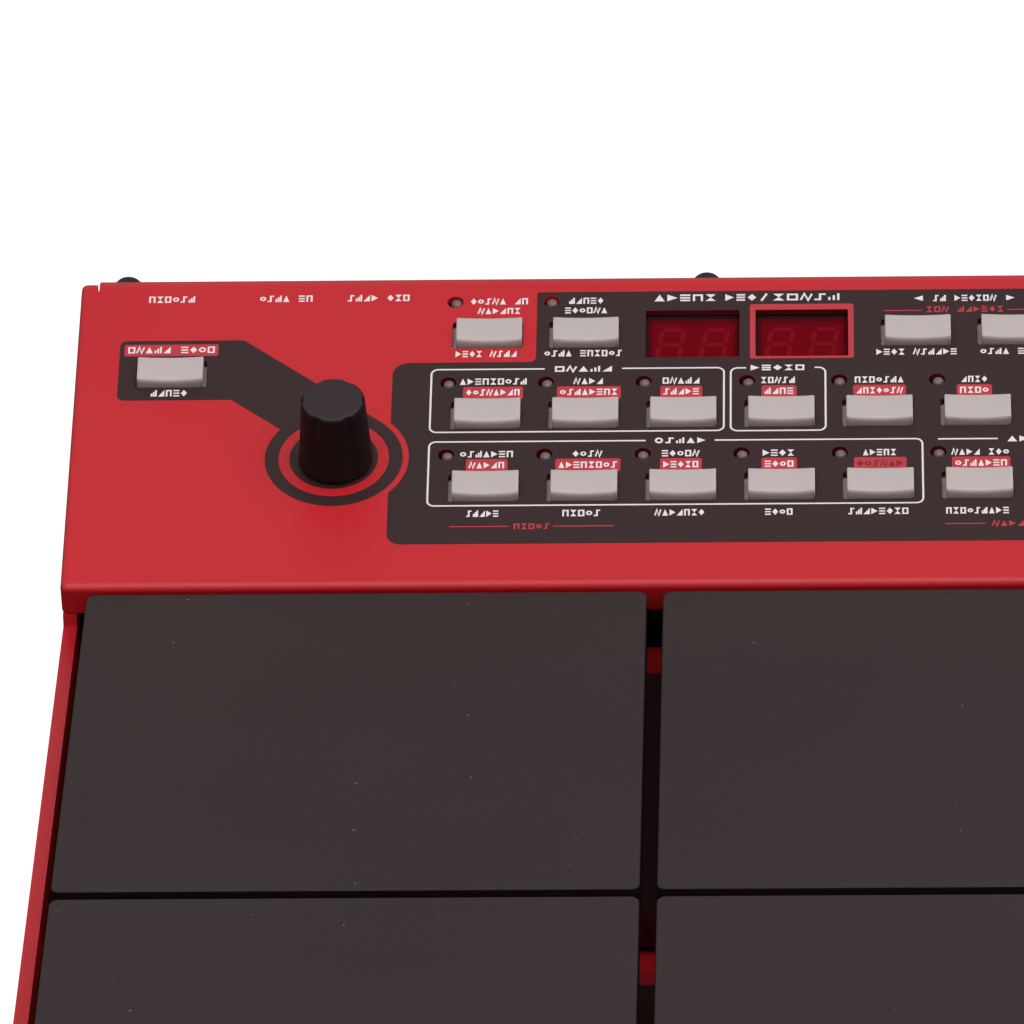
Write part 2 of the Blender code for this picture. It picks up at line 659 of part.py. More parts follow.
def main():
    for obj in list(bpy.data.objects):
        bpy.data.objects.remove(obj, do_unlink=True)

    red_paint = make_finish("red_paint", (0.53, 0.03, 0.045), 0.35)
    rubber = make_finish("pad_rubber", (0.045, 0.034, 0.034), 0.75)
    steel = make_finish("zinc_steel", (0.55, 0.55, 0.53), 0.4, 1.0)
    foam = make_finish("black_foam", (0.02, 0.018, 0.018), 0.95)
    key_plastic = make_finish("key_plastic", (0.52, 0.46, 0.44), 0.5)
    knob_plastic = make_finish("knob_plastic", (0.04, 0.033, 0.033), 0.6)
    board_green = make_finish("board_green", (0.03, 0.13, 0.06), 0.5)
    film = make_finish("sensor_film", (0.45, 0.32, 0.12), 0.4)
    housing = make_finish("socket_housing", (0.02, 0.02, 0.02), 0.45)
    metal_body = make_finish("control_body", (0.6, 0.6, 0.6), 0.35, 1.0)
    display_face = make_finish("display_face", (0.14, 0.004, 0.008), 0.3)
    black_steel = make_finish("black_screw", (0.02, 0.02, 0.022), 0.4, 0.8)
    foot_rubber = make_finish("foot_rubber", (0.02, 0.02, 0.02), 0.85)

    frame = make_panel_frame()
    tray, wall_y = make_base_tray(red_paint)
    inner_y = wall_y - SHEET
    make_pad_deck(red_paint)
    panel = make_control_panel(frame, red_paint)
    cut_screw_holes(frame, panel, tray)
    make_keys(frame, key_plastic)
    make_knobs(frame, knob_plastic)
    make_shaft_bodies(frame, metal_body)
    make_panel_board(frame, board_green)
    make_display(frame, display_face)
    make_pads(rubber, steel)
    make_foams(foam)
    make_sensor_flex(film)
    make_main_board(board_green, inner_y - 0.6)
    make_jacks(housing, inner_y)
    make_midi_sockets(housing, inner_y, wall_y)
    make_dc_inlet(housing, inner_y, wall_y)
    make_feet(foot_rubber)
    make_rear_screws(frame, black_steel)


main()
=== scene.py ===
import json
import random
from math import atan2, cos, pi, radians, sin, sqrt

import bmesh
import bpy
from mathutils import Matrix, Vector


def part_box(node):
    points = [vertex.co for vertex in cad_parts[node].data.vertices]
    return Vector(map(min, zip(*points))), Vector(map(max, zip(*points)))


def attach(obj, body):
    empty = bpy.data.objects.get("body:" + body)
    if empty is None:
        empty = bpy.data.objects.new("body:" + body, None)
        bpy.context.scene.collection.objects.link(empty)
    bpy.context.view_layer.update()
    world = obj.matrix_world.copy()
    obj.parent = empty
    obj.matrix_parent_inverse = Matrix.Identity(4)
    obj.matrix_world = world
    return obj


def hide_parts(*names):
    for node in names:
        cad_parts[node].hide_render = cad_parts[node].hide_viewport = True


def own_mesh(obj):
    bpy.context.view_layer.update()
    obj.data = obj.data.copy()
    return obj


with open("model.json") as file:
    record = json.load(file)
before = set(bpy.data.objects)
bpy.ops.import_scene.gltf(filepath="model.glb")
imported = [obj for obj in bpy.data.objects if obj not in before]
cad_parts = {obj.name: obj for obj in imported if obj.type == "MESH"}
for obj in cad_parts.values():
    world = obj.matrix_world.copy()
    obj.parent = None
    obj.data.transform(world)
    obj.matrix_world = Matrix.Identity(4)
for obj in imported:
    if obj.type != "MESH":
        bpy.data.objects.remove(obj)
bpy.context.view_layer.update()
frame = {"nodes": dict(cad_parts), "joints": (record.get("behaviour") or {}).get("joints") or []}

# Lengths are in millimetres. They are turned into metres as each mesh is made.
MM = 0.001
CASE = "case"
WORLD = Matrix.Identity(4)

# Camera: its angles are those of the photographer's view of the object
CAMERA_PLACE = (-21.05, -1421.2, 879.5)
CAMERA_DOWN = 29.36
CAMERA_TURN = 2.06
CAMERA_ROLL = 1.41
CAMERA_LENS = 347.15
SENSOR = 36.0

# Control panel, in its own frame: x across, s up the slope from the front edge, h out of the panel
KNOB_S = 31.6
SHEET = 1.2
FRONT_BEND = 1.25
SIDE_BEND = 1.2
REAR_BEND = 5.5
REAR_BEND_START = 76.0
FLANGE_S = REAR_BEND_START + REAR_BEND
FLANGE_DEPTH = 10.5
LIP_DEPTH = 6.15
TAB_END = 77.75
SLIT_START = 75.8
SLIT_INNER = 149.75
SLIT_OUTER = 150.07
EDGE_ROUND = 0.12                     # paint rounds every cut edge

SCREW_FALL = 0.2                      # the screws and their holes stand this much lower than the solids

KEY_OFFSET = 0.3                      # a slot's middle is this far to the left of its cap's
SIDE_KEY_OFFSET = -0.15               # at the side key it is to the right
SLOT_WIDTH = 12.5
SLOT_DEPTH = 6.8
KNOB_BORE = 4.8
LAMP_HOLE = 1.45
LAMP_RADIUS = 1.03
LAMP_SHIFT = (-6.75, 8.45)
UPPER_LAMP_SHIFT = (-5.93, 8.75)
NEAR_LAMP = ("key_middle_4", 1.0)     # this lamp sits that much nearer its key
WINDOWS = ((-52.05, -35.37, 57.4, 69.6), (-32.55, -16.1, 57.45, 69.55))

# Thicknesses of the printed layers
DARK_LAYER = (-0.02, 0.025)
COLOUR_LAYER = (0.0, 0.04)
WHITE_LAYER = (0.01, 0.055)


# ---------------- frame

def joint(name):
    return next(j for j in frame["joints"] if j["name"] == name)


def panel_matrix():
    """The panel's own frame, from the axis and the place of the value knob's joint."""
    knob = joint("value_knob_turn")
    normal = Vector(knob["axis"])
    slope = Vector((0.0, normal.z, -normal.y))
    origin = Vector(knob["pos_m"]) - slope * KNOB_S * MM
    origin.x = 0.0
    columns = (Vector((1.0, 0.0, 0.0)), slope, normal, origin)
    return Matrix([[c[row] for c in columns] for row in range(3)] + [[0.0, 0.0, 0.0, 1.0]])


PANEL = panel_matrix()
TO_PANEL = PANEL.inverted()
KNOB_X = joint("value_knob_turn")["pos_m"][0] / MM


def panel_box(node):
    """Lowest and highest corner of a CAD node in the panel's frame, in millimetres."""
    points = [TO_PANEL @ v.co / MM for v in frame["nodes"][node].data.vertices]
    low = [min(p[i] for p in points) for i in range(3)]
    high = [max(p[i] for p in points) for i in range(3)]
    return low, high


def world_box(node):
    """Lowest and highest corner of a CAD node, in millimetres."""
    low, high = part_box(node)
    return low / MM, high / MM


def key_names():
    return sorted(n for n in frame["nodes"] if n.startswith("key_"))


def key_centre(name):
    low, high = panel_box(name)
    return (low[0] + high[0]) / 2, (low[1] + high[1]) / 2


KEYS = {name: key_centre(name) for name in key_names()}


def slot_x(name):
    """Middle of a key's slot: a little to the left of its cap, but to the right at the side key."""
    return KEYS[name][0] - (SIDE_KEY_OFFSET if name == "key_side" else KEY_OFFSET)


def lamp_places():
    """Centre of each lamp hole: at the rear left of its key."""
    places = []
    for name, (_, s) in KEYS.items():
        if name in ("key_upper_1", "key_upper_2"):
            places.append((slot_x(name) + UPPER_LAMP_SHIFT[0], s + UPPER_LAMP_SHIFT[1]))
        elif name.startswith(("key_middle", "key_lower")):
            nearer = NEAR_LAMP[1] if name == NEAR_LAMP[0] else 0.0
            places.append((slot_x(name) + LAMP_SHIFT[0] + nearer, s + LAMP_SHIFT[1]))
    return places


# ---------------- outlines

def arc(cx, cy, radius, start, end, steps):
    """Points on an arc between two angles in degrees, both ends included."""
    points = []
    for i in range(steps + 1):
        angle = radians(start + (end - start) * i / steps)
        points.append((cx + radius * cos(angle), cy + radius * sin(angle)))
    return points


def circle(cx, cy, radius, count=48):
    return arc(cx, cy, radius, 0, 360 - 360 / count, count - 1)


def rounded_rectangle(cx, cy, width, depth, radius, steps=6):
    dx = width / 2 - radius
    dy = depth / 2 - radius
    corners = ((dx, dy, 0), (-dx, dy, 90), (-dx, -dy, 180), (dx, -dy, 270))
    points = []
    for ox, oy, start in corners:
        points += arc(cx + ox, cy + oy, radius, start, start + 90, steps)
    return points


def rounded_box(left, right, front, rear, radius, steps):
    return rounded_rectangle(
        (left + right) / 2, (front + rear) / 2, right - left, rear - front, radius, steps)


def rounding(radius, angle):
    """How far in, and how far below the top, a round edge is at an angle."""
    return radius * (1 - cos(radians(angle))), radius * (1 - sin(radians(angle)))


def rounded_polygon(corners, steps=6):
    """A closed outline from (x, y, radius) corners; a radius of 0 keeps the corner sharp."""
    points = []
    count = len(corners)
    for i, (x, y, radius) in enumerate(corners):
        if radius == 0:
            points.append((x, y))
            continue
        here = Vector((x, y))
        before = (Vector(corners[i - 1][:2]) - here).normalized()
        after = (Vector(corners[(i + 1) % count][:2]) - here).normalized()
        half = before.angle(after) / 2
        centre = here + (before + after).normalized() * (radius / sin(half))
        start = here + before * (radius / (sin(half) / cos(half)))
        end = here + after * (radius / (sin(half) / cos(half)))
        first = atan2(start.y - centre.y, start.x - centre.x)
        sweep = atan2(end.y - centre.y, end.x - centre.x) - first
        sweep = (sweep + pi) % (2 * pi) - pi
        for k in range(steps + 1):
            angle = first + sweep * k / steps
            points.append((centre.x + radius * cos(angle), centre.y + radius * sin(angle)))
    return points


def stroke(points, width):
    """Outline of a line of that width through the points."""
    left = []
    right = []
    for i, point in enumerate(points):
        here = Vector(point)
        before = here - Vector(points[max(i - 1, 0)])
        after = Vector(points[min(i + 1, len(points) - 1)]) - here
        if before.length == 0:
            before = after
        if after.length == 0:
            after = before
        before.normalize()
        after.normalize()
        along = (before + after).normalized()
        reach = width / 2 / max(along.dot(after), 0.5)
        side = Vector((-along.y, along.x)) * reach
        left.append(tuple(here + side))
        right.append(tuple(here - side))
    return left + list(reversed(right))


# ---------------- meshes

def place(a, b, level, axis):
    """A point of an outline drawn across an axis: (x, y), (y, z) or (z, x)."""
    if axis == "Z":
        return Vector((a, b, level)) * MM
    if axis == "X":
        return Vector((level, a, b)) * MM
    return Vector((b, level, a)) * MM


def stack(bm, sections, axis="Z"):
    """A solid through outlines of the same point count, each at its own level."""
    rings = []
    for outline, level in sections:
        rings.append([bm.verts.new(place(a, b, level, axis)) for a, b in outline])
    count = len(rings[0])
    for lower, upper in zip(rings, rings[1:]):
        for i in range(count):
            j = (i + 1) % count
            bm.faces.new((lower[i], lower[j], upper[j], upper[i]))
    bm.faces.new(list(reversed(rings[0])))
    bm.faces.new(rings[-1])


def prism(bm, outline, low, high, axis="Z"):
    stack(bm, ((outline, low), (outline, high)), axis)


def turned(bm, profile, count=48, centre=(0.0, 0.0), axis="Z"):
    """A solid of revolution from (radius, level) pairs, closed at both ends."""
    stack(bm, [(circle(centre[0], centre[1], r, count), level) for r, level in profile], axis)


def layer(bm, loops, levels):
    """A flat solid between two levels; loops inside another loop are holes in it."""
    low, high = levels
    edges = []
    for outline in loops:
        verts = [bm.verts.new(place(a, b, low, "Z")) for a, b in outline]
        for i, vert in enumerate(verts):
            edges.append(bm.edges.new((vert, verts[(i + 1) % len(verts)])))
    filled = bmesh.ops.triangle_fill(
        bm, use_beauty=True, use_dissolve=False, edges=edges, normal=(0, 0, 1))
    faces = [f for f in filled["geom"] if isinstance(f, bmesh.types.BMFace)]
    grown = bmesh.ops.extrude_face_region(bm, geom=faces, use_keep_orig=True)
    top = [v for v in grown["geom"] if isinstance(v, bmesh.types.BMVert)]
    bmesh.ops.translate(bm, verts=top, vec=(0.0, 0.0, (high - low) * MM))


def make_mesh_object(name, bm, matrix=WORLD):
    bmesh.ops.recalc_face_normals(bm, faces=bm.faces)
    mesh = bpy.data.meshes.new(name)
    bm.to_mesh(mesh)
    bm.free()
    obj = bpy.data.objects.new(name, mesh)
    bpy.context.scene.collection.objects.link(obj)
    obj.matrix_world = matrix
    return obj


def settle(obj):
    """Turns an object's modifiers into its mesh."""
    graph = bpy.context.evaluated_depsgraph_get()
    mesh = bpy.data.meshes.new_from_object(obj.evaluated_get(graph))
    obj.modifiers.clear()
    obj.data = mesh
    return obj


def combine(obj, bm, operation, matrix=WORLD):
    """Cuts a shape out of the object, or joins it on, for good."""
    tool = make_mesh_object("tool", bm, matrix)
    modifier = obj.modifiers.new("combine", "BOOLEAN")
    modifier.operation = operation
    modifier.solver = "EXACT"
    modifier.object = tool
    bpy.context.view_layer.update()
    settle(obj)
    bpy.data.objects.remove(tool)


def set_down(obj):
    """Writes an object's place into its mesh, so that its own box is square to the row frame."""
    obj.data.transform(obj.matrix_world)
    obj.matrix_world = WORLD


def tidy_faces(obj):
    """Joins the pieces of each flat face that cuts leave behind."""
    bm = bmesh.new()
    bm.from_mesh(obj.data)
    bmesh.ops.remove_doubles(bm, verts=bm.verts, dist=1e-7)
    bmesh.ops.dissolve_limit(bm, angle_limit=radians(0.5), verts=bm.verts, edges=bm.edges)
    bm.to_mesh(obj.data)
    bm.free()


def round_edges(obj, width, segments=2, angle=35):
    modifier = obj.modifiers.new("edges", "BEVEL")
    modifier.width = width * MM
    modifier.segments = segments
    modifier.limit_method = "ANGLE"
    modifier.angle_limit = radians(angle)
    modifier.harden_normals = True
    modifier.miter_outer = "MITER_ARC"
    modifier.use_clamp_overlap = True


def even_shading(obj):
    """Keeps large flat faces flat where they meet small rounds."""
    modifier = obj.modifiers.new("shading", "WEIGHTED_NORMAL")
    modifier.mode = "FACE_AREA"
    modifier.weight = 80
    modifier.keep_sharp = True


def finish_piece(obj, finish, body, smooth=35):
    """Shading, material and body of a piece that is in place."""
    obj.data.materials.clear()
    obj.data.materials.append(finish)
    obj.data.shade_smooth()
    if smooth:
        obj.data.set_sharp_from_angle(angle=radians(smooth))
    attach(obj, body)
    return obj


def paint_light_on_steep_faces(obj, finish, steep=0.35, up=Vector((0.0, 0.0, 1.0)), reach=None):
    """Paints light and shade onto the steep faces of a piece with a second material; reach keeps it to a
    box in x and y.
    """
    obj.data.materials.append(finish)
    for face in obj.data.polygons:
        x = face.center.x / MM
        y = face.center.y / MM
        inside = reach is None or (reach[0] < x < reach[1] and reach[2] < y < reach[3])
        if inside and abs(face.normal.dot(up)) < steep:
            face.material_index = 1


# ---------------- materials

def set_inputs(node, values):
    """Sets constants on a node's sockets, by name."""
    for name, value in values.items():
        node.inputs[name].default_value = value


class Nodes:
    """Short names for building one material's nodes."""

    def __init__(self, name):
        self.material = bpy.data.materials.new(name)
        self.material.use_nodes = True
        self.tree = self.material.node_tree
        self.shader = self.tree.nodes["Principled BSDF"]
        self.coords = self.tree.nodes.new("ShaderNodeTexCoord").outputs["Object"]

    def link(self, source, target):
        self.tree.links.new(source, target)

    def noise(self, scale, detail=3.0, roughness=0.55):
        node = self.tree.nodes.new("ShaderNodeTexNoise")
        set_inputs(node, {"Scale": scale, "Detail": detail, "Roughness": roughness})
        self.link(self.coords, node.inputs["Vector"])
        return node.outputs["Fac"]

    def spread(self, value, low, high):
        """Stretches a value's middle range to low ... high."""
        node = self.tree.nodes.new("ShaderNodeMapRange")
        set_inputs(node, {"From Min": 0.3, "From Max": 0.7, "To Min": low, "To Max": high})
        self.link(value, node.inputs["Value"])
        return node.outputs["Result"]

    def mix(self, factor, first, second):
        node = self.tree.nodes.new("ShaderNodeMix")
        node.data_type = "RGBA"
        self.link(factor, node.inputs["Factor"])
        for socket, value in ((node.inputs[6], first), (node.inputs[7], second)):
            if isinstance(value, tuple):
                socket.default_value = (*value, 1.0)
            else:
                self.link(value, socket)
        return node.outputs[2]

    def bump(self, height, depth, after=None):
        """Bump of a depth in millimetres; after is the normal that it adds to."""
        node = self.tree.nodes.new("ShaderNodeBump")
        set_inputs(node, {"Distance": depth * MM, "Strength": 1.0})
        self.link(height, node.inputs["Height"])
        if after is not None:
            self.link(after, node.inputs["Normal"])
        return node.outputs["Normal"]

    def specks(self, scale, size, share):
        """1 on small round specks, scattered over a share of the cells of that scale."""
        cells = self.tree.nodes.new("ShaderNodeTexVoronoi")
        cells.voronoi_dimensions = "2D"
        cells.inputs["Scale"].default_value = scale
        self.link(self.coords, cells.inputs["Vector"])
        near = self.math("LESS_THAN", cells.outputs["Distance"], size)
        split = self.tree.nodes.new("ShaderNodeSeparateColor")
        self.link(cells.outputs["Color"], split.inputs["Color"])
        chosen = self.math("LESS_THAN", split.outputs[0], share)
        return self.math("MULTIPLY", near, chosen)

    def math(self, operation, first, second):
        """The second value may be a constant."""
        node = self.tree.nodes.new("ShaderNodeMath")
        node.operation = operation
        self.link(first, node.inputs[0])
        if isinstance(second, float):
            node.inputs[1].default_value = second
        else:
            self.link(second, node.inputs[1])
        return node.outputs[0]


def darker(colour, amount):
    return tuple(c * (1.0 - amount) for c in colour)


def surface(name, colour, roughness, mottle=0.06, grain=2200.0, depth=0.01, metallic=0.0, specular=0.5):
    """A finish with slow colour variation, uneven gloss and a fine grain."""
    n = Nodes(name)
    slow = n.noise(28.0, 3.0)
    fine = n.noise(grain, 3.0, 0.6)
    base = n.mix(n.spread(slow, 0.0, 1.0), darker(colour, mottle), colour)
    n.link(base, n.shader.inputs["Base Color"])
    n.link(n.spread(fine, roughness - 0.05, roughness + 0.05), n.shader.inputs["Roughness"])
    n.link(n.bump(fine, depth), n.shader.inputs["Normal"])
    set_inputs(n.shader, {"Metallic": metallic, "Specular IOR Level": specular})
    return n.material


def make_red_paint():
    """Satin powder coat: a slight orange peel over a fine grain."""
    n = Nodes("red_powder_coat")
    slow = n.noise(16.0, 2.0)
    peel = n.noise(420.0, 2.0, 0.5)
    fine = n.noise(2600.0, 2.0, 0.5)
    colour = n.mix(n.spread(slow, 0.0, 1.0), (0.505, 0.0090, 0.0165), (0.54, 0.0110, 0.0185))
    n.link(colour, n.shader.inputs["Base Color"])
    n.link(n.spread(fine, 0.36, 0.46), n.shader.inputs["Roughness"])
    n.link(n.bump(fine, 0.004, n.bump(peel, 0.02)), n.shader.inputs["Normal"])
    n.shader.inputs["Specular IOR Level"].default_value = 0.45
    return n.material


def make_pad_rubber():
    """Matt black rubber sheet: fine texture, slow shading differences and specks of dust."""
    n = Nodes("pad_rubber")
    slow = n.noise(14.0, 2.0)
    fine = n.noise(1700.0, 4.0, 0.65)
    base = n.mix(n.spread(slow, 0.0, 1.0), (0.030, 0.0195, 0.0195), (0.034, 0.0225, 0.0225))
    dust = n.mix(n.specks(95.0, 0.019, 0.14), base, (0.075, 0.062, 0.061))
    lint = n.mix(n.specks(60.0, 0.0085, 0.20), dust, (0.26, 0.23, 0.225))
    n.link(lint, n.shader.inputs["Base Color"])
    n.link(n.spread(fine, 0.62, 0.76), n.shader.inputs["Roughness"])
    n.link(n.bump(fine, 0.03), n.shader.inputs["Normal"])
    n.shader.inputs["Specular IOR Level"].default_value = 0.25
    return n.material


def make_display_filter():
    """Dark red face of the display module."""
    n = Nodes("display_face")
    slow = n.noise(120.0, 2.0)
    colour = n.mix(n.spread(slow, 0.0, 1.0), (0.135, 0.003, 0.0068), (0.15, 0.0034, 0.0076))
    n.link(colour, n.shader.inputs["Base Color"])
    n.link(n.spread(n.noise(900.0), 0.18, 0.26), n.shader.inputs["Roughness"])
    n.shader.inputs["Specular IOR Level"].default_value = 0.0
    return n.material


# Name, colour, roughness, mottle, grain, depth of the grain, and where they differ metallic and specular
SURFACES = {
    "dark_print": ("dark_print", (0.0275, 0.0076, 0.0082), 0.5, 0.10, 2400.0, 0.004, 0.0, 0.40),
    "faded_print": ("faded_print", (0.15, 0.008, 0.012), 0.5, 0.04, 2400.0, 0.004),
    "white_print": ("white_print", (0.80, 0.74, 0.75), 0.5, 0.04, 2400.0, 0.004),
    "red_print": ("red_print", (0.50, 0.028, 0.042), 0.45, 0.04, 2400.0, 0.004),
    "cap": ("key_plastic", (0.50, 0.435, 0.425), 0.5, 0.03, 1900.0, 0.012),
    # Darker cap plastic for the caps' fronts: painted shade
    "cap_front": ("key_plastic_painted_shade", (0.395, 0.315, 0.30), 0.5, 0.03, 1900.0, 0.012, 0.0, 0.3),
    "knob": ("knob_plastic", (0.0245, 0.0125, 0.0125), 0.55, 0.10, 1500.0, 0.02, 0.0, 0.4),
    # Darker knob plastic for the knobs' sides: painted shade
    "knob_side_painted_shade": ("knob_side_painted_shade", (0.0075, 0.0045, 0.0048), 0.6, 0.10, 1500.0, 0.02, 0.0, 0.2),
    # Darker rubber for the pads' sides: painted shade
    "pad_side_painted_shade": ("pad_side_painted_shade", (0.005, 0.0022, 0.0027), 0.85, 0.10, 1700.0, 0.03, 0.0, 0.1),
    # Darker red for the walls of the panel's openings: painted shade
    "shaded_red": ("red_coat_painted_shade", (0.10, 0.003, 0.005), 0.6, 0.10, 2400.0, 0.004, 0.0, 0.2),
    "lamp": ("lamp_lens", (0.17, 0.115, 0.11), 0.32, 0.10, 900.0, 0.01),
    "segment": ("display_segment", (0.20, 0.0055, 0.0125), 0.4, 0.05, 900.0, 0.004, 0.0, 0.0),
    "window_wall": ("window_wall", (0.020, 0.0045, 0.006), 0.6, 0.1, 1500.0, 0.01, 0.0, 0.15),
    # Darker red for a ring round each display face: painted shade
    "display_edge_painted_shade": ("display_edge_painted_shade", (0.088, 0.0042, 0.008), 0.5, 0.05, 900.0, 0.004, 0.0, 0.0),
    "steel": ("zinc_plate", (0.58, 0.57, 0.54), 0.38, 0.12, 700.0, 0.01, 1.0),
    "nickel": ("socket_nickel", (0.70, 0.68, 0.64), 0.24, 0.05, 900.0, 0.005, 1.0),
    "board": ("solder_mask", (0.02, 0.10, 0.045), 0.4, 0.15, 1200.0, 0.02),
    "housing": ("socket_plastic", (0.018, 0.018, 0.019), 0.42, 0.10, 1300.0, 0.015),
    "foam": ("black_foam", (0.021, 0.0045, 0.0055), 0.95, 0.30, 900.0, 0.25, 0.0, 0.15),
    # Lighter, redder foam for the foam blocks' sides: painted light
    "foam_side_painted_light": ("black_foam_painted_light", (0.075, 0.013, 0.016), 0.95, 0.30, 900.0, 0.25, 0.0, 0.1),
    "screw": ("black_screw", (0.028, 0.028, 0.031), 0.33, 0.10, 1800.0, 0.006, 0.6),
    "foot": ("foot_rubber", (0.022, 0.021, 0.021), 0.8, 0.12, 1300.0, 0.03),
    "film": ("sensor_film", (0.45, 0.28, 0.08), 0.35, 0.08, 900.0, 0.005),
    "scale": ("knob_pointer", (0.75, 0.70, 0.70), 0.5, 0.03, 1900.0, 0.004),
}
MATERIALS = {"red": make_red_paint(), "rubber": make_pad_rubber(), "display": make_display_filter()}
for key, values in SURFACES.items():
    MATERIALS[key] = surface(*values)


def panel_piece(name, bm, finish):
    """A finished piece of the case, drawn in the panel's frame."""
    return finish_piece(make_mesh_object(name, bm, PANEL), MATERIALS[finish], CASE)


def panel_spot(x, s):
    """The panel's frame, moved to a point on its face."""
    return PANEL @ Matrix.Translation(Vector((x, s, 0.0)) * MM)


# ---------------- control panel

def panel_section(inset):
    """Side view of the folded panel, drawn smaller by the inset all round."""
    points = [(inset, -LIP_DEPTH)]
    points += arc(FRONT_BEND, -FRONT_BEND, FRONT_BEND - inset, 180, 90, 8)
    points += arc(REAR_BEND_START, -REAR_BEND, REAR_BEND - inset, 90, 0, 24)
    points += [(FLANGE_S - inset, -FLANGE_DEPTH), (78.0, -FLANGE_DEPTH), (78.0, -LIP_DEPTH)]
    return points


def make_panel():
    """Folded panel sheet: bends at the front, sides and rear, with every opening cut."""
    low, high = world_box("control_panel")
    half = (high.x - low.x) / 2
    sections = []
    for i in range(7):
        angle = radians(90 * i / 6)
        outline = panel_section(SIDE_BEND * (1 - sin(angle)))
        sections.append((outline, SIDE_BEND * (1 - cos(angle)) - half))
    bm = bmesh.new()
    stack(bm, sections + [(outline, -x) for outline, x in reversed(sections)], "X")
    panel = make_mesh_object("panel_sheet", bm, PANEL)

    bm = bmesh.new()
    inner = [(SHEET, -30.0)]
    inner += arc(FRONT_BEND, -FRONT_BEND, FRONT_BEND - SHEET, 180, 90, 4)
    inner += arc(REAR_BEND_START, -REAR_BEND, REAR_BEND - SHEET, 90, 0, 16)
    inner += [(FLANGE_S - SHEET, -30.0)]
    prism(bm, inner, SHEET - half, half - SHEET, "X")
    combine(panel, bm, "DIFFERENCE", PANEL)

    bm = bmesh.new()
    for side in (-1, 1):
        notch = rounded_polygon((
            (side * SLIT_INNER, SLIT_START, 0.14), (side * SLIT_OUTER, SLIT_START, 0.14),
            (side * SLIT_OUTER, TAB_END, 0), (side * (half + 2), TAB_END, 0),
            (side * (half + 2), 90.0, 0), (side * SLIT_INNER, 90.0, 0)), 4)
        prism(bm, notch, -30.0, 10.0)
    combine(panel, bm, "DIFFERENCE", PANEL)

    bm = bmesh.new()
    for name, (x, s) in KEYS.items():
        prism(bm, rounded_rectangle(slot_x(name), s, SLOT_WIDTH, SLOT_DEPTH, 0.45, 4), -2.0, 1.0)
    for x, s in lamp_places():
        prism(bm, circle(x, s, LAMP_HOLE, 32), -2.0, 1.0)
    for x in (-abs(KNOB_X), abs(KNOB_X)):
        prism(bm, circle(x, KNOB_S, KNOB_BORE, 40), -2.0, 1.0)
    for window in WINDOWS:
        prism(bm, rounded_box(*window, 0.3, 3), -2.0, 1.0)
    combine(panel, bm, "DIFFERENCE", PANEL)

    bm = bmesh.new()
    for x, h in screw_places():
        turned(bm, ((1.6, 76.0), (1.6, 84.0)), 24, (h, x), "Y")
    combine(panel, bm, "DIFFERENCE", PANEL)

    tidy_faces(panel)
    round_edges(panel, EDGE_ROUND, 2, 40)
    finish_piece(panel, MATERIALS["red"], CASE, 40)
    # Painted shade: the walls of the slots, lamp holes and windows get a darker red.
    paint_light_on_steep_faces(panel, MATERIALS["shaded_red"], 0.6, Vector((0.0, 0.0, 1.0)), (-146.0, 146.0, 4.0, 72.0))
    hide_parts("control_panel")
    even_shading(panel)


def screw_places():
    """Where each rear screw's axis goes through the flange: across, and out of the panel."""
    places = []
    for i in range(4):
        low, high = panel_box(f"rear_screw_{i + 1}")
        places.append(((low[0] + high[0]) / 2, (low[2] + high[2]) / 2 - SCREW_FALL))
    return places


# ---------------- print on the panel

RING_SHIFT = (-0.37, 0.5)                 # the rings are printed this far off the knob's axis
RING_X = KNOB_X + RING_SHIFT[0]
RING_S = KNOB_S + RING_SHIFT[1]
RING_OUTER = 12.13
RING_INNER = 9.7
DISC = 7.8
NOTCH = 13.2
BAND_ANGLE = 49.3                         # where the band's rear edge touches the ring
BAND_END = 142.5                          # where its front edge meets the ring
BLOCK = (-145.3, 47.2, 62.6)              # left edge, front edge and rear edge of the side block
FIELD = {"left": -96.7, "right": 57.0, "front": 10.2, "rear": 74.6, "step_x": -71.4, "step_s": 56.4}
PRINT_CLEAR = 0.04                        # openings in the print are this much larger than in the sheet


def print_openings():
    """Slots, lamp holes and windows, as in the sheet, each with its middle."""
    loops = []
    width = SLOT_WIDTH + PRINT_CLEAR
    depth = SLOT_DEPTH + PRINT_CLEAR
    for name, (x, s) in KEYS.items():
        loops.append((x, s, rounded_rectangle(slot_x(name), s, width, depth, 0.5, 3)))
    for x, s in lamp_places():
        loops.append((x, s, circle(x, s, LAMP_HOLE + PRINT_CLEAR / 2, 32)))
    for left, right, front, rear in WINDOWS:
        x = (left + right) / 2
        s = (front + rear) / 2
        width = right - left + PRINT_CLEAR
        loops.append((x, s, rounded_rectangle(x, s, width, rear - front + PRINT_CLEAR, 0.4, 3)))
    return loops


def ring_point(angle):
    return (RING_X + RING_OUTER * cos(radians(angle)), RING_S + RING_OUTER * sin(radians(angle)))


def field_outline():
    """The dark field round the keys, with a round notch at the rings and a step at the rear left."""
    left = FIELD["left"]
    right = FIELD["right"]
    front = FIELD["front"]
    rear = FIELD["rear"]
    notch_reach = sqrt(NOTCH ** 2 - (left - RING_X) ** 2)
    notch_angle = atan2(notch_reach, left - RING_X) * 180 / pi
    outline = rounded_polygon((
        (right, RING_S, 0), (right, rear, 1.2), (FIELD["step_x"], rear, 0.4),
        (FIELD["step_x"], FIELD["step_s"], 1.3), (left, FIELD["step_s"], 3.0),
        (left, RING_S + notch_reach, 0)))[1:-1]
    outline += arc(RING_X, RING_S, NOTCH, notch_angle, -notch_angle, 24)
    outline += rounded_polygon((
        (left, RING_S - notch_reach, 0), (left, front, 2.5),
        (right, front, 2.5), (right, RING_S, 0)))[1:-1]
    return outline


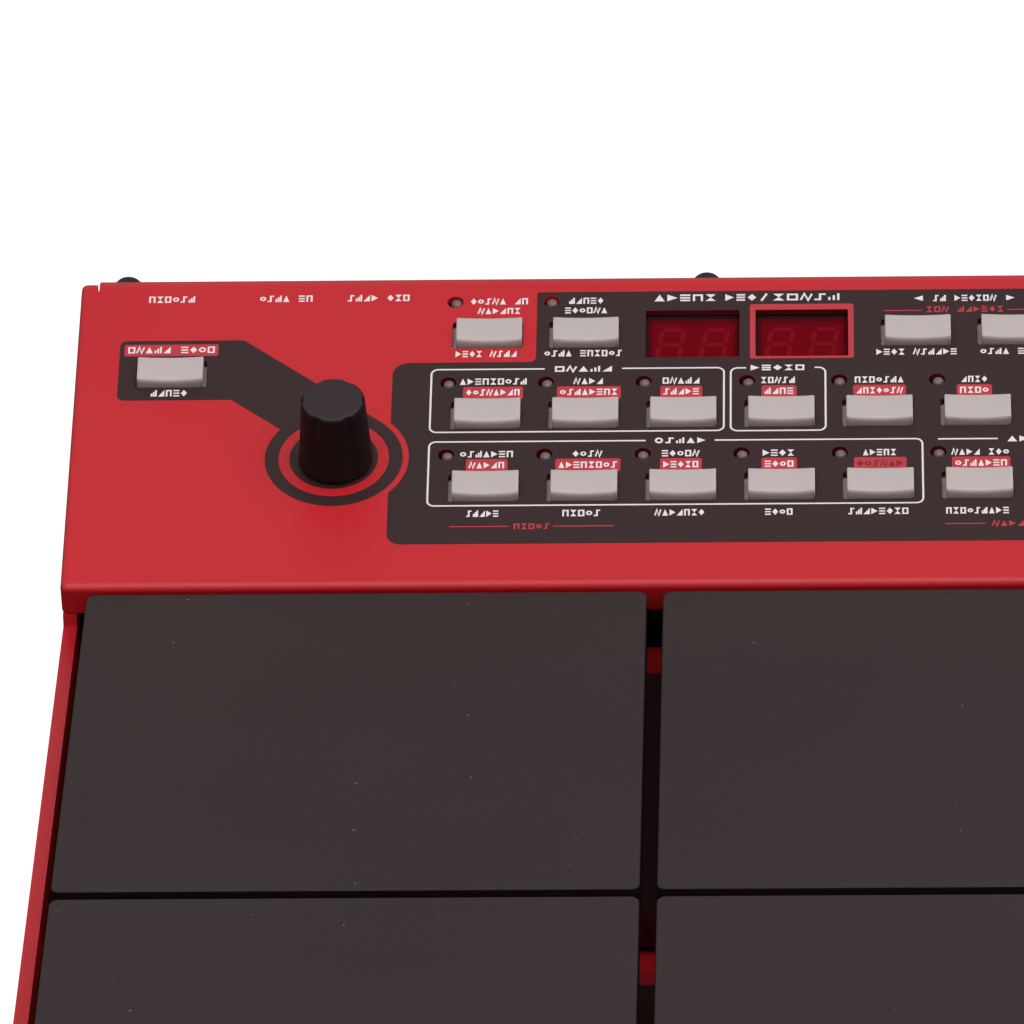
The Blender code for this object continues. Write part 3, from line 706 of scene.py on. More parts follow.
def block_outline():
    """The side block, with a band that runs down to the rings and touches them."""
    left, front, rear = BLOCK
    rise = abs(sin(radians(BAND_ANGLE - 90)))
    run = cos(radians(BAND_ANGLE - 90))
    tangent = ring_point(BAND_ANGLE)
    rear_x = tangent[0] - (rear - tangent[1]) / rise * run
    foot = ring_point(BAND_END)
    front_x = foot[0] - (front - foot[1]) / rise * run
    outline = rounded_polygon((
        (rear_x, rear, 0), (left, rear, 1.3), (left, front, 1.3), (front_x, front, 0)), 5)[1:]
    outline += arc(RING_X, RING_S, RING_OUTER, BAND_END, BAND_ANGLE, 16)
    return outline + [(rear_x, rear)]


def make_dark_print():
    """Printed dark areas: the field round the keys, the side block with its band, and the rings."""
    openings = print_openings()
    inside = []
    for x, s, outline in openings:
        if x > FIELD["step_x"] or (x > FIELD["left"] and s < FIELD["step_s"]):
            inside.append(outline)
    beside = [outline for x, s, outline in openings if x < KEYS["key_side"][0] + SLOT_WIDTH]
    bm = bmesh.new()
    layer(bm, [field_outline()] + inside, DARK_LAYER)
    layer(bm, [block_outline()] + beside, DARK_LAYER)
    for side in (1, -1):
        x = side * RING_X
        layer(bm, [circle(x, RING_S, RING_OUTER, 96), circle(x, RING_S, RING_INNER, 96)], DARK_LAYER)
        bore = circle(side * KNOB_X, KNOB_S, KNOB_BORE + 0.05, 40)
        layer(bm, [circle(x, RING_S, DISC, 72), bore], DARK_LAYER)
    panel_piece("print_dark", bm, "dark_print")


LINE = 0.33                               # width of the frames' lines
FRAME_CORNER = 1.2


def frame_line(left, right, front, rear, gap_left, gap_right):
    """A rounded box drawn as one line, open at the rear for its title."""
    radius = FRAME_CORNER
    points = [(gap_right, rear)]
    points += arc(right - radius, rear - radius, radius, 90, 0, 6)
    points += arc(right - radius, front + radius, radius, 0, -90, 6)
    points += arc(left + radius, front + radius, radius, 270, 180, 6)
    points += arc(left + radius, rear - radius, radius, 180, 90, 6)
    points.append((gap_left, rear))
    return stroke(points, LINE)


def box_outline(left, low, right, top):
    return [(left, low), (right, low), (right, top), (left, top)]


def sign(number, left, low, width, height, line):
    """Outlines of one small drawn shape in its cell."""
    right = left + width
    top = low + height
    cx = left + width / 2
    cs = low + height / 2
    half = line / 2
    radius = min(width, height) / 2
    step = [(left, low + half), (cx, low + half), (cx, top - half), (right, top - half)]
    arch = [
        (left + half, low), (left + half, top - half),
        (right - half, top - half), (right - half, low)]
    zigzag = [
        (left, low + 0.1), (left + width * 0.33, top),
        (left + width * 0.66, low), (right, top - 0.1)]
    hollow_box = [
        box_outline(left, low, right, top),
        box_outline(left + line, low + line, right - line, top - line)]
    rising_bars = [
        box_outline(left, low, left + line, low + height * 0.45),
        box_outline(cx - half, low, cx + half, low + height * 0.72),
        box_outline(right - line, low, right, top)]
    flat_bars = [
        box_outline(left, low, right, low + line),
        box_outline(left, cs - half, right, cs + half),
        box_outline(left, top - line, right, top)]
    shapes = (
        [[(left, low), (right, low), (cx, top)]],
        [stroke(step, line)],
        hollow_box,
        [[(left, cs), (cx, low), (right, cs), (cx, top)]],
        [stroke(arch, line)],
        [[(left, low), (right, cs), (left, top)]],
        rising_bars,
        [stroke(zigzag, line)],
        [circle(cx, cs, radius, 20), circle(cx, cs, radius - line, 20)],
        [[(left, top), (right, top), (cx, cs)], [(left, low), (cx, cs - 0.02), (right, low)]],
        flat_bars,
        [[(left, low), (right, low), (right, top)]],
    )
    return shapes[number]


HOLLOW = (2, 8)                           # these signs are rings: their second loop is a hole
SIGNS = 12                                # how many different signs there are


def add_signs(bm, left, right, low, top, first, pitch=1.28, line=0.31, levels=WHITE_LAYER, skip=None):
    """A row of small drawn shapes that fills a label's place; skip leaves out one cell as a space."""
    gap = 0.2 * pitch
    count = max(2, round((right - left + gap) / pitch))
    step = (right - left + gap) / count
    for i in range(count):
        if i == skip:
            continue
        number = (first + i * 5 + i // 3) % SIGNS
        loops = sign(number, left + i * step, low, step - gap, top - low, line)
        if number in HOLLOW:
            layer(bm, loops, levels)
        else:
            for outline in loops:
                layer(bm, [outline], levels)


# Labels of each key, across from the cap's middle: first line, plate with its line, line below the key
LABELS = {
    "key_middle_1": ((-5.1, 6.9), (-4.4, 6.2), None),
    "key_middle_2": ((-2.2, 3.1), (-5.1, 6.2), None),
    "key_middle_3": ((-3.8, 2.9), (-4.1, 3.3), None),
    "key_middle_4": ((-3.7, 2.5), (-3.5, 2.7), None),
    "key_middle_5": ((-4.4, 4.4), (-4.6, 4.7), None),
    "key_middle_6": ((-2.9, 1.9), (-3.6, 2.6), None),
    "key_middle_7": ((-3.4, 2.9), (-4.2, 3.6), None),
    "key_middle_8": ((-4.0, 3.8), (-3.8, 3.4), None),
    "key_lower_1": ((-4.7, 4.8), (-3.5, 3.8), (-3.3, 2.5)),
    "key_lower_2": ((-2.2, 3.1), (-5.1, 6.3), (-3.8, 3.0)),
    "key_lower_3": ((-3.8, 2.9), (-4.0, 3.3), (-4.9, 3.9)),
    "key_lower_4": ((-3.4, 2.3), (-3.5, 2.7), (-3.0, 2.0)),
    "key_lower_5": ((-3.1, 2.9), (-4.6, 4.6), (-5.8, 4.9)),
    "key_lower_6": ((-4.8, 5.4), (-4.7, 5.5), (-6.0, 5.1)),
    "key_lower_7": ((-3.2, 3.4), (-4.4, 4.2), (-4.2, 3.9)),
    "key_lower_8": ((-4.1, 3.0), (-3.6, 3.1), (-5.0, 4.1)),
}
DARK_PLATE_SIGNS = "key_lower_5"          # this plate's signs are printed dark
LABEL_FALL = 0.045                        # each key's signs stand this much lower than its left neighbour's
LINE_RISE = 8.65                          # middle of the first line, behind the key's middle
PLATE_RISE = 5.68
BELOW_FRONT = 7.3                         # front edge of the line below, before the key's middle
SIGN_HEIGHT = 1.6


def make_key_labels(white, plates, dark):
    """The first line, the red plate touching the cap and the line below, for both rows of eight."""
    for number, (name, (line, plate, below)) in enumerate(LABELS.items()):
        x, s = KEYS[name]
        fall = LABEL_FALL * (number % 8)
        rise = LINE_RISE - (0.12 if "lower" in name else 0.0) - fall
        low = s + rise - SIGN_HEIGHT / 2
        space = 4 if line[1] - line[0] > 10 and number > 8 else None
        top = s + rise + SIGN_HEIGHT / 2
        add_signs(white, x + line[0] + 0.1, x + line[1] - 0.1, low, top, number * 7, skip=space)
        middle = x + (plate[0] + plate[1]) / 2
        outline = rounded_rectangle(middle, s + PLATE_RISE - fall, plate[1] - plate[0], 3.25, 0.45, 4)
        layer(plates, [outline], COLOUR_LAYER)
        ink = dark if name == DARK_PLATE_SIGNS else white
        first = number * 5 + 3
        add_signs(ink, x + plate[0] + 0.55, x + plate[1] - 0.6, s + rise - 3.6, s + rise - 2.0, first)
        if below:
            low = s - BELOW_FRONT
            add_signs(white, x + below[0] + 0.1, x + below[1] - 0.1, low, s - 5.7, number * 3 + 1)


def make_titles(white, red):
    """Group frames with their wide titles, the bracket lines and the thin red lines."""
    layer(white, [frame_line(-89.8, -38.1, 38.4, 54.55, -69.8, -56.1)], WHITE_LAYER)
    layer(white, [frame_line(-36.9, -20.2, 38.3, 54.45, -34.2, -22.1)], WHITE_LAYER)
    layer(white, [frame_line(-89.8, -3.3, 19.75, 35.95, -51.8, -39.7)], WHITE_LAYER)
    for start, end in ((-0.55, 9.9), (21.2, 31.6)):
        layer(white, [stroke([(start, 35.84), (end, 35.84)], LINE)], WHITE_LAYER)
    titles = (
        (-68.0, -57.9, 54.5, 2), (-33.4, -23.9, 54.48, 5),
        (-50.2, -41.3, 35.95, 8), (11.6, 19.6, 35.8, 0))
    for left, right, s, first in titles:
        add_signs(white, left, right, s - 0.72, s + 0.72, first, 2.05, 0.36)
    thin_lines = (
        (-85.8, -75.5, 14.52), (-67.8, -57.2, 14.5), (0.4, 7.5, 14.46), (22.5, 29.6, 14.44),
        (-9.7, -3.0, 69.1), (12.2, 18.9, 69.15))
    for start, end, s in thin_lines:
        layer(red, [stroke([(start, s), (end, s)], 0.24)], COLOUR_LAYER)
    add_signs(red, -74.6, -68.4, 13.8, 15.2, 4, 1.4, 0.3, COLOUR_LAYER)
    add_signs(red, 8.6, 21.4, 13.75, 15.15, 7, 1.4, 0.3, COLOUR_LAYER)
    add_signs(red, -2.2, 11.5, 68.6, 70.1, 9, 1.4, 0.3, COLOUR_LAYER, 3)


# Labels of the two upper keys at the left: first and second line behind the key, and the line below
UPPER_LABELS = (
    ("key_upper_1", (-3.5, 6.7), (-2.1, 5.4), (-5.9, 4.9), 3, 5),
    ("key_upper_2", (-3.1, 3.0), (-3.8, 3.7), (-7.3, 6.4), 6, None),
)


def make_upper_labels(white, plates):
    """Signs of the upper keys, the display, the side key and the sockets."""
    for name, line, second, below, first, space in UPPER_LABELS:
        x, s = KEYS[name]
        add_signs(white, x + line[0], x + line[1], s + 8.0, s + 9.6, first, skip=space)
        add_signs(white, x + second[0], x + second[1], s + 5.5, s + 7.05, first + 4)
        add_signs(white, x + below[0], x + below[1], s - 5.7, s - 4.1, first + 2, skip=4)
    x, s = KEYS["key_upper_3"]
    layer(white, [[(x - 0.6, s + 8.8), (x + 1.0, s + 8.1), (x + 1.0, s + 9.5)]], WHITE_LAYER)
    layer(white, [[(x + 15.8, s + 8.1), (x + 17.3, s + 8.8), (x + 15.8, s + 9.5)]], WHITE_LAYER)
    add_signs(white, x + 2.8, x + 14.0, s + 8.0, s + 9.6, 1, skip=2)
    add_signs(white, x - 7.4, x + 6.8, s - 5.9, s - 4.35, 5, skip=4)
    x, s = KEYS["key_upper_4"]
    add_signs(white, x - 6.1, x + 5.6, s - 5.9, s - 4.35, 8, skip=4)
    for left, right, first in ((-50.5, -39.6, 0), (-37.9, -32.4, 5), (-29.4, -17.6, 9)):
        add_signs(white, left, right, 71.95, 73.7, first, 2.3, 0.4)
    layer(white, [stroke([(-31.5, 71.9), (-30.5, 73.8)], 0.4)], WHITE_LAYER)
    x, s = KEYS["key_side"]
    layer(plates, [rounded_rectangle(x - 0.1, s + 6.25, 16.7, 3.0, 0.4, 4)], COLOUR_LAYER)
    add_signs(white, x - 7.8, x + 7.6, s + 5.5, s + 7.15, 2, 1.5, skip=5)
    add_signs(white, x - 3.3, x + 3.1, s - 5.7, s - 4.05, 6, 1.3)
    sockets = ((-140.7, -132.5, 4, None), (-120.9, -111.5, 8, 4), (-105.2, -94.2, 1, 4))
    for left, right, first, space in sockets:
        add_signs(white, left, right, 72.55, 74.2, first, 1.38, 0.32, skip=space)


def make_symbols():
    """White signs beside the keys, red plates under the second row of signs, and group frames."""
    white = bmesh.new()
    plates = bmesh.new()
    dark = bmesh.new()
    make_key_labels(white, plates, dark)
    make_titles(white, plates)
    make_upper_labels(white, plates)
    window = WINDOWS[1]
    red_frame = rounded_rectangle((window[0] + window[1]) / 2, 63.95, 18.4, 14.15, 0.4, 4)
    layer(plates, [red_frame, rounded_box(*window, 0.3, 3)], COLOUR_LAYER)
    panel_piece("print_white", white, "white_print")
    panel_piece("print_red", plates, "red_print")
    panel_piece("print_signs_dark", dark, "faded_print")


# ---------------- keys

KEY_WIDTH = 11.65
KEY_DEPTH = 6.1
KEY_DISH = (0.46, 0.24)                   # depth of the dish at the front and at the rear
CAP_FOOT = -1.55
CAP_FRONT_ROUND = 0.85
CAP_REAR_ROUND = 0.22
FLANGE_LEVEL = -2.4


def cap_section(front_top, rear_top):
    """Side view of a cap, front to rear, for a top at those heights."""
    half = KEY_DEPTH / 2
    points = [(-half, CAP_FOOT), (-half + 0.12, front_top - 1.25)]
    points += arc(-half + 0.12 + CAP_FRONT_ROUND, front_top - CAP_FRONT_ROUND, CAP_FRONT_ROUND, 180, 90, 6)
    points += arc(half - 0.18 - CAP_REAR_ROUND, rear_top - CAP_REAR_ROUND, CAP_REAR_ROUND, 90, 0, 3)
    points += [(half, CAP_FOOT)]
    return points


def make_key_mesh():
    """A dished cap on a flange with a stem below it."""
    low, high = panel_box("key_side")
    bm = bmesh.new()
    half = KEY_WIDTH / 2
    stations = [-half + KEY_WIDTH * i / 16 for i in range(17)]
    sections = []
    for x in stations:
        bow = 1 - (x / half) ** 2
        outline = cap_section(high[2] - KEY_DISH[0] * bow, high[2] - KEY_DISH[1] * bow)
        sections.append((outline, x))
    stack(bm, sections, "X")
    cap = make_mesh_object("key_cap", bm)
    round_edges(cap, 0.32, 3, 40)
    bpy.context.view_layer.update()
    settle(cap)
    bm = bmesh.new()
    stack(bm, (
        (rounded_rectangle(0, 0, 3.2, 3.2, 1.5, 4), low[2]),
        (rounded_rectangle(0, 0, 3.2, 3.2, 1.5, 4), FLANGE_LEVEL),
        (rounded_rectangle(0, 0, 14.0, 8.2, 0.6, 4), FLANGE_LEVEL),
        (rounded_rectangle(0, 0, 14.0, 8.2, 0.6, 4), -1.5)))
    combine(cap, bm, "UNION")
    mesh = cap.data
    bpy.data.objects.remove(cap)
    return mesh


def make_keys():
    mesh = make_key_mesh()
    for name, (x, s) in KEYS.items():
        cap = bpy.data.objects.new(f"cap_{name[4:]}", mesh.copy())
        bpy.context.scene.collection.objects.link(cap)
        cap.matrix_world = panel_spot(x, s)
        finish_piece(cap, MATERIALS["cap"], f"{name}_body", 38)
        # Painted shade: the caps' front faces get a darker plastic.
        paint_light_on_steep_faces(cap, MATERIALS["cap_front"], 0.62, Vector((0.0, 0.0, 1.0)), (-5.75, 5.75, -3.2, -2.7))
        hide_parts(name)


# ---------------- knobs, lamps and display

LOBES = 6
KNOB_BASE = 6.55
KNOB_TOP = 5.65


def knob_outline(radius, groove, count=180):
    """A circle with shallow rounded grooves between its lobes."""
    points = []
    for i in range(count):
        angle = 2 * pi * i / count
        across = abs(((angle * LOBES / (2 * pi)) % 1.0) - 0.5) * 2 * pi / LOBES
        dip = groove * max(0.0, 1.0 - (across / 0.2) ** 2) ** 1.5
        points.append(((radius - dip) * sin(angle), (radius - dip) * cos(angle)))
    return points


def make_knob(name, pointer):
    low, high = panel_box(name)
    x = (low[0] + high[0]) / 2
    top = high[2]
    base = 0.4
    foot = base + 0.9
    rim = 0.75
    sections = [(knob_outline(KNOB_BASE - 0.35, 0.0), base), (knob_outline(KNOB_BASE, 0.05), base + 0.35)]
    for i in range(13):
        share = i / 12
        radius = KNOB_BASE - 0.03 + (KNOB_TOP + 0.05 - KNOB_BASE) * share ** 0.92
        level = foot + (top - foot - rim) * share
        sections.append((knob_outline(radius, 0.10 + 0.27 * share), level))
    for angle in (20, 40, 60, 80):
        shrink, drop = rounding(rim, angle)
        sections.append((knob_outline(KNOB_TOP - shrink, 0.37 * cos(radians(angle))), top - drop))
    sections.append((knob_outline(KNOB_TOP - 1.1, 0.0), top))
    bm = bmesh.new()
    stack(bm, sections)
    knob = make_mesh_object(f"{name}_grip", bm, panel_spot(x, KNOB_S))
    bm = bmesh.new()
    turned(bm, ((5.3, -1.0), (4.6, 7.5)), 48)
    combine(knob, bm, "DIFFERENCE", knob.matrix_world)
    bm = bmesh.new()
    turned(bm, ((3.0, low[2]), (3.0, 9.0)), 40)
    combine(knob, bm, "UNION", knob.matrix_world)
    set_down(knob)
    finish_piece(knob, MATERIALS["knob"], f"{name}_body", 40)
    # Painted shade: the knob's sides and the steep part of its rim get a darker plastic.
    paint_light_on_steep_faces(knob, MATERIALS["knob_side_painted_shade"], 0.8, PANEL.to_3x3() @ Vector((0.0, 0.0, 1.0)))
    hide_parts(name)
    if pointer:
        bm = bmesh.new()
        layer(bm, [rounded_rectangle(0, 3.1, 0.75, 3.4, 0.3, 4)], (top - 0.03, top))
        mark = make_mesh_object(f"{name}_pointer", bm, panel_spot(x, KNOB_S))
        finish_piece(mark, MATERIALS["scale"], f"{name}_body")


def make_lamps():
    """Round lamps, unlit, level with the panel's face; each stands a little off its hole."""
    random.seed(6)
    level = -0.72
    dome = [(LAMP_RADIUS, -6.8), (LAMP_RADIUS, level)]
    dome += [(LAMP_RADIUS * cos(radians(a)), level + 0.8 * sin(radians(a))) for a in (20, 40, 60, 78)]
    bm = bmesh.new()
    for x, s in lamp_places():
        turned(bm, dome, 28, (x + random.uniform(0.08, 0.28), s + random.uniform(-0.04, 0.06)))
    panel_piece("lamp_domes", bm, "lamp")
    bm = bmesh.new()
    for x, s in lamp_places():
        rings = [circle(x, s, LAMP_HOLE + 0.35, 40), circle(x, s, LAMP_HOLE - 0.02, 40)]
        layer(bm, rings, (-SHEET - 1.6, -SHEET - 0.02))
    panel_piece("lamp_collars", bm, "window_wall")


DIGIT_SIZE = (3.9, 7.6)
DIGIT_STROKE = 0.9
DIGIT_LEAN = 0.13


def digit_loops(x, s):
    """Seven bars of one digit, leaning to the right."""
    width, height = DIGIT_SIZE
    half = DIGIT_STROKE / 2
    bars = []
    for level in (0.0, 0.5, 1.0):
        cy = s - height / 2 + height * level
        left = x - width / 2
        right = x + width / 2
        bars.append([
            (left + 0.55, cy - half), (right - 0.55, cy - half), (right - 0.25, cy),
            (right - 0.55, cy + half), (left + 0.55, cy + half), (left + 0.25, cy)])
    for cx in (x - width / 2, x + width / 2):
        for level in (0.25, 0.75):
            low = s - height / 2 + height * level - height / 4
            top = low + height / 2
            bars.append([
                (cx - half, low + 0.65), (cx, low + 0.3), (cx + half, low + 0.65),
                (cx + half, top - 0.65), (cx, top - 0.3), (cx - half, top - 0.65)])
    return [[(a + (b - s) * DIGIT_LEAN, b) for a, b in bar] for bar in bars]


def make_board():
    """Board under the panel with a switch under each key."""
    low, high = panel_box("panel_board")
    floor = low[2]
    key_floor = panel_box("key_side")[0][2]
    bm = bmesh.new()
    holes = [circle(x, KNOB_S, 3.6, 32) for x in (-abs(KNOB_X), abs(KNOB_X))]
    outline = box_outline(low[0], low[1], high[0], high[1])
    layer(bm, [outline] + holes, (floor + 0.1, floor + 1.6))
    board = panel_piece("key_board", bm, "board")
    set_down(board)
    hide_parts("panel_board")
    switches = bmesh.new()
    for x, s in KEYS.values():
        prism(switches, rounded_rectangle(x, s, 6.0, 6.0, 0.4, 3), floor + 1.61, key_floor - 1.6)
        turned(switches, ((1.7, key_floor - 1.61), (1.7, key_floor - 0.9)), 24, (x, s))
    panel_piece("key_switches", switches, "housing")


# Boxes that show in a window, as shifts of its left, right, front and rear edge
SURROUND = (-0.6, 0.6, -0.6, 0.6)
# Outer edge of a ring of painted shade round each face, and the surround's opening just outside it
SHADE_RING = (0.5, -0.15, -0.4, -0.6)
SHADE_RING_CLEAR = (0.49, -0.14, -0.41, -0.59)
FACE = (1.1, -0.75, -0.35, -1.6)


def window_outline(window, shifts, radius=0.3):
    return rounded_box(*[edge + shift for edge, shift in zip(window, shifts)], radius, 3)


def make_display():
    """Black-walled display module with a dark red face, a darker ring of painted shade round the face, and
    two faint digits in each window.
    """
    low, high = panel_box("display_module")
    top = high[2]
    bm = bmesh.new()
    prism(bm, rounded_box(low[0], high[0], low[1], high[1], 0.4, 3), low[2], top - 0.55)
    body = panel_piece("display_body", bm, "window_wall")
    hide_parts("display_module")
    faces = bmesh.new()
    digits = bmesh.new()
    surrounds = bmesh.new()
    edges = bmesh.new()
    for window in WINDOWS:
        outer = window_outline(window, SURROUND, 0.4)
        layer(surrounds, [outer, window_outline(window, SHADE_RING_CLEAR)], (top - 0.62, top - 0.02))
        outline = window_outline(window, FACE)
        prism(faces, outline, top - 0.5, top - 0.1)
        # A darker ring round each face: painted shade.
        layer(edges, [window_outline(window, SHADE_RING), outline], (top - 0.52, top - 0.1))
        cx = (window[0] + FACE[0] + window[1] + FACE[1]) / 2
        cs = (window[2] + FACE[2] + window[3] + FACE[3]) / 2
        for shift in (-3.9, 3.9):
            for bar in digit_loops(cx + shift - 0.2, cs - 0.2):
                layer(digits, [bar], (top - 0.11, top - 0.08))
    panel_piece("display_faces", faces, "display")
    panel_piece("display_digits", digits, "segment")
    panel_piece("display_shade_rings", edges, "display_edge_painted_shade")
    panel_piece("display_surround", surrounds, "window_wall")


# ---------------- pads and case

PAD_EDGE = 0.45                           # rounding of a pad's top edge
PAD_INSET = 0.3                           # a pad is this much smaller at the top than at the bottom
FOAM_SPLIT = 0.015                        # half the gap between two foam blocks


def make_pads():
    """Rubber skins with a slightly rounded top edge and sides that were trimmed by hand."""
    for i in range(1, 7):
        low, high = world_box(f"pad_skin_{i}")
        cx = (low.x + high.x) / 2
        cy = (low.y + high.y) / 2
        width = high.x - low.x
        depth = high.y - low.y
        levels = [(0.0, low.z), (0.0, low.z + 1.2), (PAD_INSET / 2, low.z + 2.0)]
        for angle in (0, 25, 50, 75, 90):
            inward, drop = rounding(PAD_EDGE, angle)
            levels.append((PAD_INSET / 2 + inward, high.z - drop))
        bm = bmesh.new()
        sections = []
        for shrink, level in levels:
            outline = rounded_rectangle(cx, cy, width - 2 * shrink, depth - 2 * shrink, 1.5, 8)
            sections.append((outline, level))
        stack(bm, sections)
        skin = make_mesh_object(f"pad_rubber_{i}", bm)
        finish_piece(skin, MATERIALS["rubber"], f"pad_{i}_body", 50)
        # Painted shade: the pads' sides get a darker rubber.
        paint_light_on_steep_faces(skin, MATERIALS["pad_side_painted_shade"])
        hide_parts(f"pad_skin_{i}")


def make_foams():
    """A foam block under each pad."""
    reach = abs(world_box("pad_skin_2")[0].x + world_box("pad_skin_1")[1].x) / 2
    for row, name in enumerate(("pad_foam_rear", "pad_foam_front")):
        low, high = world_box(name)
        spans = (
            (low.x, -reach - FOAM_SPLIT),
            (-reach + FOAM_SPLIT, reach - FOAM_SPLIT),
            (reach + FOAM_SPLIT, high.x))
        for column, (left, right) in enumerate(spans):
            number = 3 * row + column + 1
            bm = bmesh.new()
            prism(bm, rounded_box(left, right, low.y, high.y, 0.08, 2), low.z, high.z)
            block = make_mesh_object(f"foam_block_{number}", bm)
            finish_piece(block, MATERIALS["foam"], CASE)
            # Painted light: the foam blocks' sides get a lighter, redder foam.
            paint_light_on_steep_faces(block, MATERIALS["foam_side_painted_light"])
            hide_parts(name)
            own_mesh(block)


def dress_cad_node(name, finish, rounding=0.0, segments=2):
    """A CAD piece whose shape is right: its material and softened edges."""
    obj = frame["nodes"][name]
    obj.data.materials.clear()
    obj.data.materials.append(MATERIALS[finish])
    weld = obj.modifiers.new("weld", "WELD")
    weld.merge_threshold = 1e-6
    flat = obj.modifiers.new("flat", "DECIMATE")
    flat.decimate_type = "DISSOLVE"
    flat.angle_limit = radians(0.5)
    if rounding:
        round_edges(obj, rounding, segments, 30)


# Part of the name, finish, rounding of the edges and segments
DRESSES = (
    ("base_tray", "red", 0.35, 3),
    ("pad_deck", "red", 0.2),
    ("main_board", "board"),
    ("sensor_flex", "film"),
    ("pad_plate", "steel", 0.15),
    ("value_encoder", "steel", 0.1),
    ("level_pot", "steel", 0.1),
    ("_jack", "housing", 0.12),
    ("midi_sockets", "housing", 0.12),
    ("dc_inlet", "housing", 0.12),
    ("foot_", "foot", 0.15),
)


def dress_case():
    for part, *dress in DRESSES:
        for name in sorted(frame["nodes"]):
            if part in name:
                dress_cad_node(name, *dress)


# ---------------- screws and sockets

def hexagon(cx, cy, flats):
    return circle(cx, cy, flats / 2 / cos(radians(30)), 6)


def make_screws():
    """Pan-head screws with a cross recess, through the rear flange."""
    for i, (x, h) in enumerate(screw_places()):
        low, high = panel_box(f"rear_screw_{i + 1}")
        radius = (high[0] - low[0]) / 2
        seat = FLANGE_S + 0.03
        shoulder = high[1] - 1.0
        profile = [(1.25, low[1]), (1.25, seat), (radius - 0.1, seat)]
        profile += [(radius, seat + 0.1), (radius, shoulder)]
        for angle in (20, 40, 60, 80):
            inward, _ = rounding(1.0, angle)
            profile.append((radius - inward, shoulder + 0.98 * sin(radians(angle))))
        profile.append((radius - 1.2, high[1]))
        bm = bmesh.new()
        turned(bm, profile, 40, (h, x), "Y")
        screw = make_mesh_object(f"screw_{i + 1}", bm, PANEL)
        for across, along in ((1.5, 0.3), (0.3, 1.5)):
            bm = bmesh.new()
            recess = box_outline(h - across, x - along, h + across, x + along)
            prism(bm, recess, high[1] - 1.1, high[1] + 1.0, "Y")
            combine(screw, bm, "DIFFERENCE", PANEL)
        finish_piece(screw, MATERIALS["screw"], CASE, 40)
        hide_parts(f"rear_screw_{i + 1}")


JACK_Z = 18.0
PIN_Z = 19.0
PIN_CIRCLE = 3.35


def make_socket_details():
    """Nuts and washers of the jacks, pins of the other sockets."""
    wall = world_box("midi_sockets")[1].y
    metal = bmesh.new()
    for name in ("phones_jack", "left_out_jack", "right_out_jack", "trigger_jack"):
        low, high = world_box(name)
        x = (low.x + high.x) / 2
        washer = (circle(JACK_Z, x, 6.6), 4.75, wall + 0.05, wall + 0.55)
        nut = (hexagon(JACK_Z, x, 11.6), 4.7, wall + 0.6, wall + 2.6)
        for outline, bore, near, far in (washer, nut):
            loops = (circle(JACK_Z, x, bore, len(outline)), outline)
            rings = []
            for level in (near, far):
                rings.append([
                    [metal.verts.new(place(a, b, level, "Y")) for a, b in loop] for loop in loops])
            (in_near, out_near), (in_far, out_far) = rings
            for k in range(len(outline)):
                m = (k + 1) % len(outline)
                metal.faces.new((in_near[k], in_near[m], out_near[m], out_near[k]))
                metal.faces.new((in_far[k], out_far[k], out_far[m], in_far[m]))
                metal.faces.new((out_near[k], out_near[m], out_far[m], out_far[k]))
                metal.faces.new((in_near[k], in_far[k], in_far[m], in_near[m]))
    nuts = finish_piece(make_mesh_object("jack_nuts", metal), MATERIALS["nickel"], CASE)
    round_edges(nuts, 0.12, 2, 30)

    pins = bmesh.new()
    low, high = world_box("midi_sockets")
    for x in ((low.x + high.x) / 2 - 10.5, (low.x + high.x) / 2 + 10.5):
        for angle in (-90, -45, 0, 45, 90):
            middle = (PIN_Z - PIN_CIRCLE * cos(radians(angle)), x + PIN_CIRCLE * sin(radians(angle)))
            turned(pins, ((0.85, wall - 2.0), (0.85, wall - 0.95)), 20, middle, "Y")
    low, high = world_box("dc_inlet")
    profile = ((1.0, high.y - 8.0), (1.0, high.y - 1.4), (0.6, high.y - 0.9))
    turned(pins, profile, 20, (PIN_Z, (low.x + high.x) / 2), "Y")
    finish_piece(make_mesh_object("socket_pins", pins), MATERIALS["nickel"], CASE)


# ---------------- stage

SKY = 0.42                                # brightness of the studio above the horizon


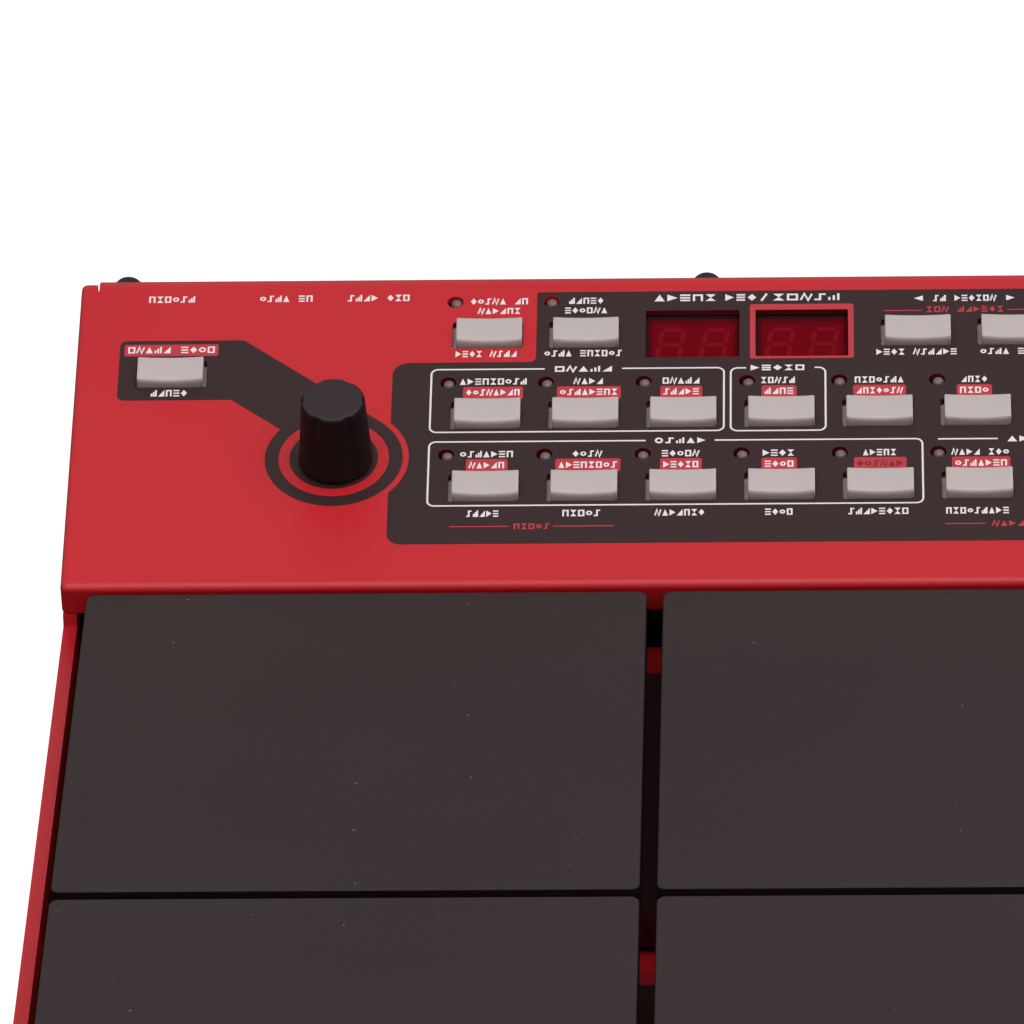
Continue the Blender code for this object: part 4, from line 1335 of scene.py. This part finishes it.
def make_stage():
    """White floor that lights nothing, and an even grey studio over it."""
    bm = bmesh.new()
    bmesh.ops.create_grid(bm, x_segments=1, y_segments=1, size=12.0)
    floor = make_mesh_object("floor", bm)
    finish = bpy.data.materials.new("floor_paper")
    finish.use_nodes = True
    shader = finish.node_tree.nodes["Principled BSDF"]
    set_inputs(shader, {
        "Base Color": (0.10, 0.10, 0.10, 1.0), "Roughness": 0.9,
        "Emission Color": (1.0, 1.0, 1.0, 1.0), "Emission Strength": 1.05})
    floor.data.materials.append(finish)
    floor.visible_diffuse = False
    floor.visible_glossy = False

    world = bpy.data.worlds.new("studio")
    bpy.context.scene.world = world
    world.use_nodes = True
    tree = world.node_tree
    background = tree.nodes["Background"]
    background.inputs["Color"].default_value = (1.0, 1.0, 1.0, 1.0)
    direction = tree.nodes.new("ShaderNodeSeparateXYZ")
    tree.links.new(tree.nodes.new("ShaderNodeTexCoord").outputs["Generated"], direction.inputs["Vector"])
    height = tree.nodes.new("ShaderNodeMapRange")
    set_inputs(height, {"From Min": -0.05, "From Max": 0.05, "To Min": 0.03, "To Max": SKY})
    tree.links.new(direction.outputs["Z"], height.inputs["Value"])
    tree.links.new(height.outputs["Result"], background.inputs["Strength"])


def add_softbox(name, place_mm, target_mm, size, energy):
    light = bpy.data.lights.new(name, "AREA")
    light.shape = "RECTANGLE"
    light.size, light.size_y = size
    light.energy = energy
    box = bpy.data.objects.new(name, light)
    bpy.context.scene.collection.objects.link(box)
    box.location = Vector(place_mm) * MM
    aim = (Vector(target_mm) - Vector(place_mm)).normalized()
    box.rotation_euler = aim.to_track_quat("-Z", "Y").to_euler()


def make_camera():
    data = bpy.data.cameras.new("camera")
    data.sensor_width = SENSOR
    data.lens = CAMERA_LENS
    data.clip_end = 50.0
    camera = bpy.data.objects.new("camera", data)
    bpy.context.scene.collection.objects.link(camera)
    turn = Matrix.Rotation(radians(CAMERA_TURN), 4, "Z")
    tilt = Matrix.Rotation(radians(90.0 - CAMERA_DOWN), 4, "X")
    roll = Matrix.Rotation(-radians(CAMERA_ROLL), 4, "Z")
    camera.matrix_world = Matrix.Translation(Vector(CAMERA_PLACE) * MM) @ turn @ tilt @ roll
    bpy.context.scene.camera = camera


make_camera()
make_stage()
add_softbox("key_light", (150.0, -480.0, 1410.0), (0.0, 0.0, 0.0), (2.6, 1.7), 24.0)
bpy.context.scene.view_settings.view_transform = "Standard"

make_panel()
make_dark_print()
make_symbols()
make_keys()
make_knob("value_knob", False)
make_knob("level_knob", True)
make_lamps()
make_board()
make_display()
make_pads()
make_foams()
make_screws()
make_socket_details()
dress_case()
